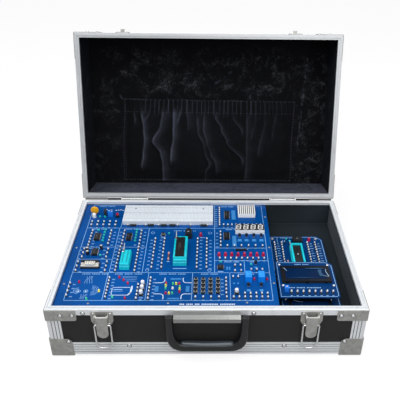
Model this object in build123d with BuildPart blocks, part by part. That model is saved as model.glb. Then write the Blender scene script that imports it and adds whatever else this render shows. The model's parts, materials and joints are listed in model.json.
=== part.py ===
from build123d import *
from math import cos, radians, sin
import os

# A microcontroller teaching kit in an aluminium-framed case, modelled with its lid standing open.
# Modelled about the middle of the case, on the plane of the rubber feet: +X right, +Y towards the hinges, +Z up.
# The lid's pieces are modelled closed and turned open about the hinge line. As the last step the whole trainer
# is moved so that its origin is under the middle of everything, open lid and handle included.

# ------------------------------------------------------------------ driving dimensions (millimetres)

# Case
CASE_WIDTH = 480.0
CASE_DEPTH = 303.0
BASE_HEIGHT = 94.5              # underside of the edging to the parting plane
LID_HEIGHT = 95.0
FOOT_HEIGHT = 3.0
FOOT_RADIUS = 7.0
FOOT_INSET = (47.0, 13.0)       # foot centre from the end and from the front or back
LID_OPEN_ANGLE = 106.5
PARTING_GAP = 0.3               # between the two rims when the lid is shut
JOINT_GAP = 0.1                 # between pieces that meet edge to edge

# Aluminium profiles
PROFILE_WALL = 1.4
RIM_WIDTH = 8.5
RIM_FLANGE = 11.0
RIM_WEB = 3.2
RIM_LIP = 5.0
RIM_LIP_WALL = 0.9
RIM_CHAMFER = 0.6
GROOVE_WIDTH = 2.6
GROOVE_DEPTH = 1.8
TONGUE_WIDTH = 1.8
TONGUE_DEPTH = 1.4
EDGE_LEG = 26.0
EDGE_CHAMFER = 2.0
POST_LEG = 21.0
RIB_GROOVE = 0.5                # depth of the grooves that form the ribs
RIB_GROOVE_WIDTH = 1.2
RIB_PITCH = 5.0
RIB_START = 6.5

# Boards and linings
PANEL = 5.0
LINING = 1.0
DIVIDER = 3.0
BEARER = 10.0

# Steel fittings
STEEL = 1.2
CAP_REACH = 34.0
CAP_HEIGHT = 35.0
CAP_ROUND = 9.0
BRACKET_REACH = 46.0
BRACKET_HEIGHT = 20.0
BRACKET_DROP = 1.5              # top of the bracket below the parting plane
BRACKET_ROUND = 4.0
BEND_RADIUS = 2.0
RIVET_RADIUS = 2.5
RIVET_HEIGHT = 1.1
RIVET_INSET = 5.5               # from the edges of a corner cap
BRACKET_RIVETS = (22.5, 40.0)   # from the corner
EDGE_RIVETS = ((-120.0, 19.5), (119.0, 19.5))   # on the front, x and height above the edging
RIM_RIVETS = ((-184.0, 87.0), (69.0, 87.0))

ROUND_SIDES = 8                 # sides given to small round parts that repeat

# Hinges
HINGE_INSET = 97.5              # middle of a hinge from the end of the case
HINGE_LENGTH = 48.0
HINGE_LEAF = 22.0
KNUCKLE_RADIUS = 2.6
HINGE_PIN_RADIUS = 1.3
KNUCKLE_LENGTH = 14.0
RUNNING_GAP = 0.08              # radial, pins in their holes
END_PLAY = 0.3

# Latches
LATCH_INSET = 84.0              # middle of a latch from the end of the case
LATCH_PLATE = (33.0, 27.0)      # width and height
LATCH_PLATE_DROP = 3.5          # top edge below the parting plane
LATCH_TAPER = (4.5, 9.0)
LATCH_PIVOT_DROP = 10.5         # lever pivot below the parting plane
LATCH_STANDOFF = 5.5            # pivots in front of the case face
LATCH_ARM = 16.0                # lever pivot to bail pivot
LEVER_WIDTH = 17.0
LEVER_TIP = 39.0                # lever pivot to the tip of its tongue
LEVER_NOSE = 4.0
LEVER_DEPTH = 5.0
EAR = 1.2
EAR_RADIUS = 4.0
LATCH_PIN_RADIUS = 1.2
BAIL_WIRE = 2.8
BAIL_WIDTH = 26.8               # over the wire
BAIL_LENGTH = 47.0              # pivot to the middle of the far wire
CATCH_PLATE = (24.0, 17.0)
CATCH_HOOK_WIDTH = 7.0
CATCH_HOOK_DEPTH = 6.6
CATCH_LIP = 3.2
CATCH_CLEARANCE = 0.6           # under the middle of the hooked wire, which bends back towards its legs
BAIL_LEAN = 1.7                 # how far the hooked bail leans in towards the lid

# Handle
HANDLE_PIVOT_DROP = 9.5
HANDLE_STANDOFF = 9.0
HANDLE_WIDTH = 123.0
HANDLE_GAP = 102.4              # between the arms at the pivot
HANDLE_DROP = 63.5              # pivot to the lowest point of the grip
HANDLE_SAG = 3.0                # grip lower in the middle than at its corners
HANDLE_TAPER = 1.5
HANDLE_THICKNESS = 9.0
GRIP_HEIGHT = 15.0
GRIP_BULGE = 3.0
GRIP_EDGE = 3.4
HANDLE_CORNER = 13.0
HANDLE_ROD_RADIUS = 2.2
BRACKET_WIDTH = 99.0
HOOD_ARCH = 3.5
LUG_X = 42.0
LUG = 3.0

# Places and plan sizes on the boards are laid out for a case of this plan, and spread with it
PLAN_WIDTH = 480.0
PLAN_DEPTH = 303.0

# Main board
BOARD = 1.6
BOARD_DROP = 6.0                # board face below the parting plane
BOARD_RIGHT = 108.5
BOARD_GAP = 0.4                 # board edge to the rim's lip
POST_RADIUS = 1.0
POST_HEIGHT = 5.5
POST_SIDES = 4
LED_RADIUS = {"large": 2.5, "small": 1.5}
LED_BODY = {"large": 6.0, "small": 3.6}
CHIP_HEIGHT = 4.0
CHIP_STANDOFF = 0.6
ZIF_HEIGHT = 12.0
ZIF_BASE = 7.6                  # fixed part, the sliding plate rides on it
ZIF_STEP = 0.6                  # sliding plate in from the base's edges
ZIF_NOTCH = (4.6, 7.0)          # width and depth of the notch for the lever
ZIF_PIVOT = (3.4, 8.2)          # from the socket's back, and above the board
ZIF_HUB = 2.6
ZIF_TAB = 5.2                   # tab behind the socket
ZIF_ROD_RADIUS = 0.8
ZIF_ROD = 17.0
ZIF_ROD_SLOPE = 15.0
SWITCH = 6.2
SWITCH_HEIGHT = 3.6
STEM_RADIUS = 1.7
STEM_RISE = 2.2                 # stem above the body
STEM_DEPTH = 1.9                # stem inside the body
STEM_GAP = 0.15
KEY_TRAVEL = 0.25
KEY_PITCH = (11.6, 9.8)
KEY_ORIGIN = (-18.7, -107.5)    # front left key
CAP_RISE = 0.7                  # underside of a button's cap above the body

# Accessory compartment
FLOOR_DROP = 48.1               # compartment floor below the parting plane
MODULE_LEG = 12.0
MODULE_LEG_RADIUS = 2.4
TALL_LEG = 16.5
SEAT_GAP = 0.05

# Lid pocket
POCKET_WIDTH = 338.0
POCKET_HEIGHT = 161.0
POCKET_FOOT = 13.0              # hem above the lid's back wall
POCKET_DEPTH = 12.0
POCKET_SPREAD = 3.0             # foot wider than the mouth, at each side
POCKET_SHIFT = 2.0
POCKET_CLOTH = 1.6

# Places on the main board: blocks as left, right, front and back, everything else as x and y
BOARD_SCREWS = ((105, 103), (105, 9), (105, -84.5), (-224.5, 7), (-225, -86.5), (-179.5, -131.5),
                (-59.5, -131), (60, -129.5), (-119.5, 136.5))
SCREW_HOLE = 3.2
BREADBOARD = (-155.5, 8.0, 76.0, 129.0)
BREADBOARD_HEIGHT = 8.5
TRENCH = 2.5
CORE_ZIF = (-57.5, -35.0, -42.0, 22.0)
SMALL_ZIF = (-143.5, -127.5, -52.5, -13.0)
CORE_CHIP = (-54.0, -39.5, -34.5, 17.5)
CHIPS = ((-199.0, -189.0, 26.5, 45.5), (-143.0, -134.0, 26.5, 45.5), (-195.5, -185.5, -16.0, 0.0),
         (29.5, 38.0, 93.5, 117.5), (27.5, 37.0, 30.0, 49.0), (16.0, 25.5, -52.5, -43.0))
CHIP_DRAFT = 7.0
CHIP_NOTCH = 1.4
LARGE_LEDS = [(18.5 + 10.64 * number, -14.0) for number in range(8)] + [(-13.5, 42.5)]
SMALL_LEDS = ((-202, -83.5), (-167.5, -104.5), (-183.5, -122.5),
              (-140.5, -72), (-133, -78.5), (-125.5, -86.5), (-145, -118.5), (-125.5, -121),
              (-65.5, -86), (-65.5, -91.5), (-65.5, -98), (-54.5, -87.5), (-49.5, -87.5), (-44.5, -87.5),
              (-54.5, -98), (-43.5, -94.5), (-43.5, -100), (-43.5, -106), (-64.5, -109.5), (-59.5, -109.5),
              (-54.5, -109.5), (74, -76), (94.5, -76))
DISPLAY = (48.0, 99.5, 48.0, 67.0)
DISPLAY_HEIGHT = 9.0
MATRIX = (54.5, 86.5, 100.5, 132.5)
MATRIX_HEIGHT = 8.0
RELAYS = ((59.5, 70.0, -83.0, -67.5), (80.0, 90.5, -83.0, -67.5))
RELAY_HEIGHT = 11.5
TRANSISTORS = ((55, 38), (67, 38), (80, 38), (93, 38), (78.5, -38.5), (64, -93.5), (84, -93.5))
TRANSISTOR = 4.8
TRANSISTOR_LEG = 3.0
TRANSISTOR_PITCH = 1.4
CAPACITORS = ([(-183, y) for y in (56.5, 48.5, 40.5, 32.5, 24.5)]
              + [(-127, y) for y in (56.5, 48.5, 40.5, 32.5, 24.5)]
              + [(-195, 55.5), (-180, -17), (-199.5, 98.5), (-190.5, 98), (21, -34), (71, -40.5), (-69.5, 46)])
CAPACITOR = (4.4, 2.4, 4.6)
CANS = ((-204, -2.5), (-202, -12), (-181.5, 3.5))
CAN = (2.6, 8.0)                # radius and height
RESISTOR = (-66.0, -17.5)
RESISTOR_RADIUS = 1.8
RESISTOR_LENGTH = 20.0
NETWORK = (48.5, 64.5, -1.2, 1.2, 5.0)
TRIMMER = (-185.5, -176.5, 101.5, 107.0, 10.0)
DISC = (-211.0, 111.0, 15.0)    # x, y and diameter
ROUND_SENSORS = ((-210.5, 100.5, 3.2, 8.0), (-168.0, 101.0, 3.0, 9.0))
LEANER = (-191.5, 106.0, 2.5, 13.0)
LEAN = 0.5
JACK = (-41.0, -28.5, 33.5, 50.0)
JACK_HEIGHT = 11.0
JACK_ROUND = 3.0
JACK_MOUTH = 3.6
JACK_PIN = 1.0
JACK_DEPTH = 9.0
SERIAL = (-207.5, -176.5, -50.0, -37.5)
SERIAL_FLANGE = 5.0
SERIAL_SHELL = (8.6, 7.4, 4.2)  # half of its long side, short side and depth
SERIAL_RISE = 5.5
SERIAL_SCREW = 3.2
RESET = (-79.5, 44.0)
RELAY_BUTTON = (45.0, -109.0)
LEVEL_BUTTONS = ((-101.5, -90.5), (-101.5, -101.0), (-102.0, -112.5))
CAP_RADIUS = 2.9
CAP_TALL = 5.6
CAP_ROUNDING = 1.3
POST_LINES = (
    ((-92, 29.5), (-92, -48.5), 9), ((-76, 29.5), (-76, -48.5), 9),
    ((-18.5, 29.5), (-18.5, -48.5), 9), ((-2.5, 29.5), (-2.5, -48.5), 9),
    ((-205, 53), (-205, 10.5), 6), ((-172, 53), (-172, 15), 5),
    ((-148.5, 53), (-148.5, 14), 5), ((-118.5, 53), (-118.5, 14), 5),
    ((-209.5, 0), (-209.5, -22), 3), ((-169.5, 0), (-169.5, -22), 3),
    ((-213, -35), (-213, -57), 3), ((-166, -35), (-166, -57), 3),
    ((-149.5, 5.5), (-149.5, -57), 8), ((-118.5, 5.5), (-118.5, -57), 8),
    ((-211, 82), (-168, 82), 5), ((-211, 71.5), (-168, 71.5), 5),
    ((-145.5, 72), (-145.5, 72), 1), ((-113.6, 72), (-90.4, 72), 2),
    ((-55.5, 72), (-32.7, 72), 2), ((-1.8, 72), (-1.8, 72), 1),
    ((20, 128.5), (20, 73), 9), ((27.5, 73), (94.1, 73), 10),
    ((21.5, 51), (21.5, 10.5), 5), ((33, 10.5), (93.5, 10.5), 6),
    ((19.5, -24.5), (93.5, -24.5), 9),
    ((44.5, -43), (53.5, -43), 2), ((44, -57), (54, -57), 2), ((70.5, -54), (88.5, -54), 3),
    ((-215, -88), (-215, -116), 4), ((-155.5, -75.5), (-155.5, -120.5), 7),
    ((-108.5, -91.5), (-108.5, -123), 5), ((-90.5, -75.5), (-90.5, -123), 7),
    ((-18.5, -120), (29.5, -120), 5), ((29, -75.5), (29, -111), 5),
    ((40.5, -72), (48.5, -72), 2), ((40, -120), (92.5, -120), 7), ((57.5, -111.5), (92.5, -111.5), 5),
)

# Places on the accessory boards
SPARE_CORE = (111.0, 209.0, -33.5, 80.5)
SPARE_CORE_LEGS = ((117.5, 72.5), (197.0, 72.5), (117.5, -29.5), (203.0, -29.5))
SPARE_ZIF = (145.0, 168.0, -20.5, 43.5)
SPARE_CHIP = (149.0, 163.5, -14.0, 38.0)
SPARE_JACK = (153.5, 172.0, 61.0, 73.5)
SPARE_POSTS = tuple(((x, 58), (x, 1), 9) for x in (119.8, 132.9, 179.5, 193.2))
UPPER_LCD = (113.0, 208.5, -107.0, -17.4)
UPPER_LCD_LEGS = ((119.5, -26), (200, -27.5), (121, -78.5), (202.4, -78.5))
UPPER_BEZEL = (119.6, 199.8, -73.1, -34.2)
UPPER_TRIMMER = (121.5, 128.5, -94.5, -87.5)
UPPER_TRIMMER_HEIGHT = 9.0
UPPER_POSTS = (((131.8, -97.2), (197.5, -97.2), 8),)
UPPER_POST_HEIGHT = 8.0
LOWER_LCD = (117.0, 212.0, -142.0, -65.5)
LOWER_LCD_LEGS = ((124.8, -91), (197.1, -92.3), (124.8, -136), (197.1, -136))
LOWER_BEZEL = (128.5, 195.6, -122.0, -97.0)
LOWER_TRIMMER = (187.5, 194.5, -90.0, -83.0)
BEZEL_HEIGHT = 5.0
BEZEL = 7.0

# ------------------------------------------------------------------ places worked out from them

SPREAD_X = CASE_WIDTH / PLAN_WIDTH
SPREAD_Y = CASE_DEPTH / PLAN_DEPTH


def point(place):
    """A place given as x, y and anything else, spread with the case."""
    return (place[0] * SPREAD_X, place[1] * SPREAD_Y, *place[2:])


def block(place):
    """A block given as left, right, front, back and anything else, spread with the case."""
    left, right, front, back, *rest = place
    return (left * SPREAD_X, right * SPREAD_X, front * SPREAD_Y, back * SPREAD_Y, *rest)


def points(places):
    return [point(place) for place in places]


def lines(places):
    return [(point(start), point(end), count) for start, end, count in places]


BOARD_RIGHT *= SPREAD_X
KEY_PITCH = point(KEY_PITCH)
KEY_ORIGIN = point(KEY_ORIGIN)
BOARD_SCREWS = points(BOARD_SCREWS)
LARGE_LEDS = points(LARGE_LEDS)
SMALL_LEDS = points(SMALL_LEDS)
TRANSISTORS = points(TRANSISTORS)
CAPACITORS = points(CAPACITORS)
CANS = points(CANS)
RESISTOR = point(RESISTOR)
DISC = point(DISC)
ROUND_SENSORS = points(ROUND_SENSORS)
LEANER = point(LEANER)
RESET = point(RESET)
RELAY_BUTTON = point(RELAY_BUTTON)
LEVEL_BUTTONS = points(LEVEL_BUTTONS)
POST_LINES = lines(POST_LINES)
BREADBOARD = block(BREADBOARD)
CORE_ZIF = block(CORE_ZIF)
SMALL_ZIF = block(SMALL_ZIF)
CORE_CHIP = block(CORE_CHIP)
CHIPS = [block(place) for place in CHIPS]
DISPLAY = block(DISPLAY)
MATRIX = block(MATRIX)
RELAYS = [block(place) for place in RELAYS]
NETWORK = block(NETWORK)
TRIMMER = block(TRIMMER)
JACK = block(JACK)
SERIAL = block(SERIAL)
SPARE_CORE = block(SPARE_CORE)
SPARE_CORE_LEGS = points(SPARE_CORE_LEGS)
SPARE_ZIF = block(SPARE_ZIF)
SPARE_CHIP = block(SPARE_CHIP)
SPARE_JACK = block(SPARE_JACK)
SPARE_POSTS = lines(SPARE_POSTS)
UPPER_LCD = block(UPPER_LCD)
UPPER_LCD_LEGS = points(UPPER_LCD_LEGS)
UPPER_BEZEL = block(UPPER_BEZEL)
UPPER_TRIMMER = block(UPPER_TRIMMER)
UPPER_POSTS = lines(UPPER_POSTS)
LOWER_LCD = block(LOWER_LCD)
LOWER_LCD_LEGS = points(LOWER_LCD_LEGS)
LOWER_BEZEL = block(LOWER_BEZEL)
LOWER_TRIMMER = block(LOWER_TRIMMER)

BOTTOM_Z = FOOT_HEIGHT
PARTING_Z = BOTTOM_Z + BASE_HEIGHT
LID_TOP_Z = PARTING_Z + LID_HEIGHT
FRONT_Y = -CASE_DEPTH / 2
BACK_Y = CASE_DEPTH / 2
RIGHT_X = CASE_WIDTH / 2
HINGE_X = RIGHT_X - HINGE_INSET
LATCH_X = RIGHT_X - LATCH_INSET

PANEL_SET = PROFILE_WALL + JOINT_GAP            # panel's outer face behind the profiles
LINING_SET = PANEL_SET + PANEL + JOINT_GAP / 2
INNER_SET = LINING_SET + LINING                 # clear inside the case
PANEL_TOP_Z = PARTING_Z - RIM_WEB - JOINT_GAP
FLOOR_Z = BOTTOM_Z + PANEL_SET + PANEL          # top of the bottom board

BOARD_TOP_Z = PARTING_Z - BOARD_DROP
BOARD_LEFT = -RIGHT_X + RIM_WIDTH + BOARD_GAP
BOARD_WIDTH = BOARD_RIGHT - BOARD_LEFT
BOARD_MID_X = (BOARD_RIGHT + BOARD_LEFT) / 2
BOARD_LENGTH = CASE_DEPTH - 2 * (RIM_WIDTH + BOARD_GAP)
DIVIDER_X = BOARD_RIGHT - DIVIDER
COMPARTMENT_Z = PARTING_Z - FLOOR_DROP

HINGE_AXIS_Y = BACK_Y + KNUCKLE_RADIUS + JOINT_GAP
HINGE_LINE = Axis((0, HINGE_AXIS_Y, PARTING_Z), (1, 0, 0))


def opened(shape):
    """A piece of the shut lid, turned to the angle at which the lid stands open."""
    return shape.rotate(HINGE_LINE, -LID_OPEN_ANGLE)


# ------------------------------------------------------------------ shared forms


def boxed_walls(inset, thickness, low, high):
    """Four walls round the case, the long ones full length and the ends let in between them."""
    width = CASE_WIDTH - 2 * inset
    depth = CASE_DEPTH - 2 * inset
    with BuildPart() as walls:
        with BuildSketch(Plane.XY.offset(low)):
            with Locations((0, (thickness - depth) / 2), (0, (depth - thickness) / 2)):
                Rectangle(width, thickness)
            with Locations(((thickness - width) / 2, 0), ((width - thickness) / 2, 0)):
                Rectangle(thickness, depth - 2 * (thickness + JOINT_GAP))
        extrude(amount=high - low)
    return walls.part


def mitred_length(outline, run, reach):
    """One length of a profile along X, its face at y = -reach, cut at 45 degrees at both ends."""
    lowest = min(z for _, z in outline)
    highest = max(z for _, z in outline)
    widest = max(inset for inset, _ in outline)
    half = run / 2 - JOINT_GAP / 2
    with BuildPart() as length:
        with BuildSketch(Plane.YZ.offset(-run / 2)):
            with BuildLine():
                Polyline(*[(inset - reach, z) for inset, z in outline], close=True)
            make_face()
        extrude(amount=run)
        with BuildSketch(Plane.XY.offset(lowest)):
            with BuildLine():
                Polyline(
                    (-half, -reach),
                    (half, -reach),
                    (half - widest, widest - reach),
                    (widest - half, widest - reach),
                    close=True,
                )
            make_face()
        extrude(amount=highest - lowest, mode=Mode.INTERSECT)
    return length.part


def mitred_frame(outline):
    """Four mitred lengths of one profile round the case."""
    with BuildPart() as frame:
        for turn in range(4):
            run, reach = (CASE_WIDTH, CASE_DEPTH / 2) if turn % 2 == 0 else (CASE_DEPTH, CASE_WIDTH / 2)
            with Locations(Location((0, 0, 0), (0, 0, 90 * turn))):
                add(mitred_length(outline, run, reach))
    return frame.part


def rim_outline(side):
    """Rim section as (inset, height) points: side is -1 under the parting plane and 1 over it."""
    key_width, key_depth = (GROOVE_WIDTH, GROOVE_DEPTH) if side < 0 else (TONGUE_WIDTH, TONGUE_DEPTH)
    face = PARTING_Z if side < 0 else PARTING_Z + PARTING_GAP
    key_left = (RIM_WIDTH - key_width) / 2
    lip_inset = RIM_WIDTH - RIM_LIP_WALL
    points = [
        (RIM_CHAMFER, 0),
        (key_left, 0),
        (key_left, -key_depth),
        (key_left + key_width, -key_depth),
        (key_left + key_width, 0),
        (RIM_WIDTH, 0),
        (RIM_WIDTH, side * RIM_LIP),
        (lip_inset, side * RIM_LIP),
        (lip_inset, side * RIM_WEB),
        (PROFILE_WALL, side * RIM_WEB),
        (PROFILE_WALL, side * RIM_FLANGE),
        (0, side * RIM_FLANGE),
        (0, side * RIM_CHAMFER),
    ]
    return [(inset, face + z) for inset, z in points]


def ribbed_leg(leg):
    """Outer face of a profile's leg, from its corner to its end, as (depth, distance) points."""
    points = []
    groove_start = RIB_START
    while groove_start + RIB_GROOVE_WIDTH < leg - RIB_START / 2:
        groove_end = groove_start + RIB_GROOVE_WIDTH
        points += [(0, groove_start), (RIB_GROOVE, groove_start), (RIB_GROOVE, groove_end), (0, groove_end)]
        groove_start += RIB_PITCH
    return points + [(0, leg), (PROFILE_WALL, leg)]


def edging_outline(plane_z, side):
    """Edging section, an angle with a ribbed upright leg, rising from plane_z on the given side."""
    points = [(EDGE_LEG, PROFILE_WALL), (EDGE_LEG, 0), (EDGE_CHAMFER, 0), (0, EDGE_CHAMFER)]
    points += ribbed_leg(EDGE_LEG)
    points += [(PROFILE_WALL, PROFILE_WALL)]
    return [(inset, plane_z + side * z) for inset, z in points]


def at_corners(piece):
    """Four copies of a piece made at the origin with its legs along +X and +Y, one at each case corner."""
    corners = ((-RIGHT_X, FRONT_Y), (RIGHT_X, FRONT_Y), (RIGHT_X, BACK_Y), (-RIGHT_X, BACK_Y))
    with BuildPart() as four:
        for turn, (x, y) in enumerate(corners):
            with Locations(Location((x, y, 0), (0, 0, 90 * turn))):
                add(piece)
    return four.part


def corner_post(low, high):
    """Upright angle at a case corner, ribbed on both outer faces."""
    leg = ribbed_leg(POST_LEG)
    along_x = [(distance, depth) for depth, distance in reversed(leg)]
    with BuildPart() as post:
        with BuildSketch(Plane.XY.offset(low)):
            with BuildLine():
                Polyline(*along_x, (EDGE_CHAMFER, 0), (0, EDGE_CHAMFER), *leg,
                         (PROFILE_WALL, PROFILE_WALL), close=True)
            make_face()
        extrude(amount=high - low)
    return post.part


def corner_cap(plane_z, side):
    """Pressed steel cap over a case corner, three rounded plates meeting at a soft edge."""
    low, high = sorted((plane_z - side * STEEL, plane_z + side * CAP_HEIGHT))
    inner_low, inner_high = sorted((plane_z, plane_z + side * (CAP_HEIGHT + STEEL)))
    far_z = plane_z + side * CAP_HEIGHT
    with BuildPart() as cap:
        with BuildSketch(Plane.XY.offset(low)):
            with Locations((-STEEL, -STEEL)):
                Rectangle(CAP_REACH + STEEL, CAP_REACH + STEEL, align=(Align.MIN, Align.MIN))
        extrude(amount=high - low)
        outer = cap.edges().filter_by(Axis.Z).sort_by(lambda edge: edge.center().X + edge.center().Y)[0]
        near = cap.faces().sort_by(Axis.Z)[0 if side > 0 else -1].edges()
        fillet([outer] + near.sort_by(Axis.X)[:1] + near.sort_by(Axis.Y)[:1], BEND_RADIUS)
        with BuildSketch(Plane.XY.offset(inner_low)):
            Rectangle(CAP_REACH + STEEL, CAP_REACH + STEEL, align=(Align.MIN, Align.MIN))
        extrude(amount=inner_high - inner_low, mode=Mode.SUBTRACT)
        ends = cap.edges().filter_by(
            lambda edge: edge.length < STEEL * 1.01
            and sum((edge.center().X > CAP_REACH - 0.01, edge.center().Y > CAP_REACH - 0.01,
                     abs(edge.center().Z - far_z) < 0.01)) == 2
        )
        fillet(ends, CAP_ROUND)
    return cap.part


def corner_bracket(side):
    """Steel angle over a rim corner, with its free corners rounded."""
    top = PARTING_Z + side * BRACKET_DROP
    low = top if side > 0 else top - BRACKET_HEIGHT
    with BuildPart() as bracket:
        with BuildSketch(Plane.XY.offset(low)):
            with BuildLine():
                Polyline((BRACKET_REACH, -STEEL), (-STEEL, -STEEL), (-STEEL, BRACKET_REACH),
                         (0, BRACKET_REACH), (0, 0), (BRACKET_REACH, 0), close=True)
            make_face()
        extrude(amount=BRACKET_HEIGHT)
        far = bracket.edges().filter_by(
            lambda edge: edge.length < STEEL * 1.01
            and max(edge.center().X, edge.center().Y) > BRACKET_REACH - 0.01
        )
        far_side = far.sort_by(Axis.Z)[:2] if side < 0 else far.sort_by(Axis.Z)[-2:]
        fillet(far_side, BRACKET_ROUND)
        bend = bracket.edges().filter_by(Axis.Z).sort_by(lambda edge: edge.center().X + edge.center().Y)[0]
        fillet(bend, BEND_RADIUS)
    return bracket.part


def rivet_heads(face, places, lift):
    """Rivet heads at (across, height) places on one of the case's upright faces."""
    with BuildPart() as heads:
        with BuildSketch(face.offset(lift)):
            with Locations(*places):
                RegularPolygon(RIVET_RADIUS, ROUND_SIDES)
        extrude(amount=RIVET_HEIGHT, taper=35)
    return heads.part


def case_faces():
    """The case's four upright faces as sketch planes, +X across and +Y up, each with its half width."""
    return (
        (Plane((0, FRONT_Y, 0), x_dir=(1, 0, 0), z_dir=(0, -1, 0)), CASE_WIDTH / 2),
        (Plane((RIGHT_X, 0, 0), x_dir=(0, 1, 0), z_dir=(1, 0, 0)), CASE_DEPTH / 2),
        (Plane((0, BACK_Y, 0), x_dir=(-1, 0, 0), z_dir=(0, 1, 0)), CASE_WIDTH / 2),
        (Plane((-RIGHT_X, 0, 0), x_dir=(0, -1, 0), z_dir=(-1, 0, 0)), CASE_DEPTH / 2),
    )


def fitting_rivets(side, cap_plane_z):
    """Rivets through the corner caps and brackets of one half of the case."""
    cap_z = cap_plane_z + side * -1 * (CAP_HEIGHT - RIVET_INSET)
    bracket_z = PARTING_Z + side * (BRACKET_DROP + BRACKET_HEIGHT / 2)
    with BuildPart() as rivets:
        for face, half in case_faces():
            places = []
            for hand in (-1, 1):
                places.append((hand * (half - CAP_REACH + RIVET_INSET), cap_z))
                places += [(hand * (half - reach), bracket_z) for reach in BRACKET_RIVETS]
            add(rivet_heads(face, places, STEEL))
    return rivets.part


# ------------------------------------------------------------------ case, lower half

with BuildPart() as base_panels:
    add(boxed_walls(PANEL_SET, PANEL, FLOOR_Z + JOINT_GAP, PANEL_TOP_Z))
    with BuildSketch(Plane.XY.offset(FLOOR_Z - PANEL)):
        Rectangle(CASE_WIDTH - 2 * PANEL_SET, CASE_DEPTH - 2 * PANEL_SET)
    extrude(amount=PANEL)
base_panels.part.label = "base_panels"

with BuildPart() as base_frame:
    add(mitred_frame(rim_outline(-1)))
    add(mitred_frame(edging_outline(BOTTOM_Z, 1)))
    add(at_corners(corner_post(BOTTOM_Z + EDGE_LEG + JOINT_GAP, PARTING_Z - RIM_FLANGE - JOINT_GAP)))
base_frame.part.label = "base_frame"

with BuildPart() as base_corner_fittings:
    add(at_corners(corner_cap(BOTTOM_Z, 1)))
    add(at_corners(corner_bracket(-1)))
base_corner_fittings.part.label = "base_corner_fittings"

with BuildPart() as base_rivets:
    add(fitting_rivets(-1, BOTTOM_Z))
    front, _ = case_faces()[0]
    add(rivet_heads(front, [(x * SPREAD_X, BOTTOM_Z + z) for x, z in EDGE_RIVETS + RIM_RIVETS], 0))
base_rivets.part.label = "base_rivets"

with BuildPart() as rubber_feet:
    foot_x = CASE_WIDTH / 2 - FOOT_INSET[0]
    foot_y = CASE_DEPTH / 2 - FOOT_INSET[1]
    with BuildSketch(Plane.XY):
        with GridLocations(2 * foot_x, 2 * foot_y, 2, 2):
            RegularPolygon(FOOT_RADIUS, 2 * ROUND_SIDES)
    extrude(amount=FOOT_HEIGHT)
    chamfer(rubber_feet.faces().sort_by(Axis.Z)[:4].edges(), FOOT_HEIGHT / 5)
rubber_feet.part.label = "rubber_feet"

inner_width = CASE_WIDTH - 2 * INNER_SET
inner_depth = CASE_DEPTH - 2 * INNER_SET
floor_top_z = FLOOR_Z + LINING
bearer_height = BOARD_TOP_Z - BOARD - floor_top_z - JOINT_GAP
compartment_left = DIVIDER_X + DIVIDER + JOINT_GAP
compartment_width = RIGHT_X - INNER_SET - compartment_left - JOINT_GAP
with BuildPart() as base_lining:
    add(boxed_walls(LINING_SET, LINING, floor_top_z + JOINT_GAP, PANEL_TOP_Z))
    with BuildSketch(Plane.XY.offset(FLOOR_Z)):
        Rectangle(CASE_WIDTH - 2 * LINING_SET, CASE_DEPTH - 2 * LINING_SET)
    extrude(amount=LINING)
    # Divider and the bearers that carry the main board along its front, back and left edges
    bay_left = -RIGHT_X + INNER_SET + JOINT_GAP
    bay_width = DIVIDER_X - bay_left - JOINT_GAP
    with BuildSketch(Plane.XY.offset(floor_top_z + JOINT_GAP)):
        with Locations((DIVIDER_X + DIVIDER / 2, 0)):
            Rectangle(DIVIDER, inner_depth - 2 * JOINT_GAP)
        with Locations((bay_left + bay_width / 2, 0)):
            with GridLocations(0, inner_depth - 2 * JOINT_GAP - BEARER, 1, 2):
                Rectangle(bay_width, BEARER)
        with Locations((bay_left + BEARER / 2, 0)):
            Rectangle(BEARER, inner_depth - 2 * (BEARER + 2 * JOINT_GAP))
    extrude(amount=bearer_height)
    # Raised floor of the compartment, on a bearer at each end
    with BuildSketch(Plane.XY.offset(COMPARTMENT_Z - DIVIDER)):
        with Locations((compartment_left + compartment_width / 2, 0)):
            Rectangle(compartment_width, inner_depth - 2 * JOINT_GAP)
    extrude(amount=DIVIDER)
    with BuildSketch(Plane.XY.offset(floor_top_z + JOINT_GAP)):
        with Locations((compartment_left + compartment_width / 2, 0)):
            with GridLocations(0, inner_depth - 2 * JOINT_GAP - BEARER, 1, 2):
                Rectangle(compartment_width, BEARER)
    extrude(amount=COMPARTMENT_Z - DIVIDER - floor_top_z - 2 * JOINT_GAP)
base_lining.part.label = "base_lining"

# ------------------------------------------------------------------ hinges


def hinge_leaf(side, knuckle_spans):
    """Leaf against the back face, with knuckles over the given spans along the hinge line."""
    reach = KNUCKLE_RADIUS + END_PLAY
    near, far = sorted((PARTING_Z + side * reach, PARTING_Z + side * HINGE_LEAF))
    sheet_y = BACK_Y + STEEL / 2 + JOINT_GAP / 2
    with BuildPart() as leaf:
        with BuildSketch(Plane.XY.offset(near)):
            with Locations((0, sheet_y)):
                Rectangle(HINGE_LENGTH, STEEL)
        extrude(amount=far - near)
        for start, end in knuckle_spans:
            with BuildSketch(Plane.YZ.offset(start)):
                with Locations((HINGE_AXIS_Y, PARTING_Z)):
                    Circle(KNUCKLE_RADIUS)
                # The sheet runs on and rolls into the knuckle
                with Locations((sheet_y, PARTING_Z + side * reach / 2)):
                    Rectangle(STEEL, reach)
            extrude(amount=end - start)
    return leaf.part


def at_both(piece, x):
    """A piece made at x = 0, copied to -x and +x."""
    with BuildPart() as pair:
        with Locations((-x, 0, 0), (x, 0, 0)):
            add(piece)
    return pair.part


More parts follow.
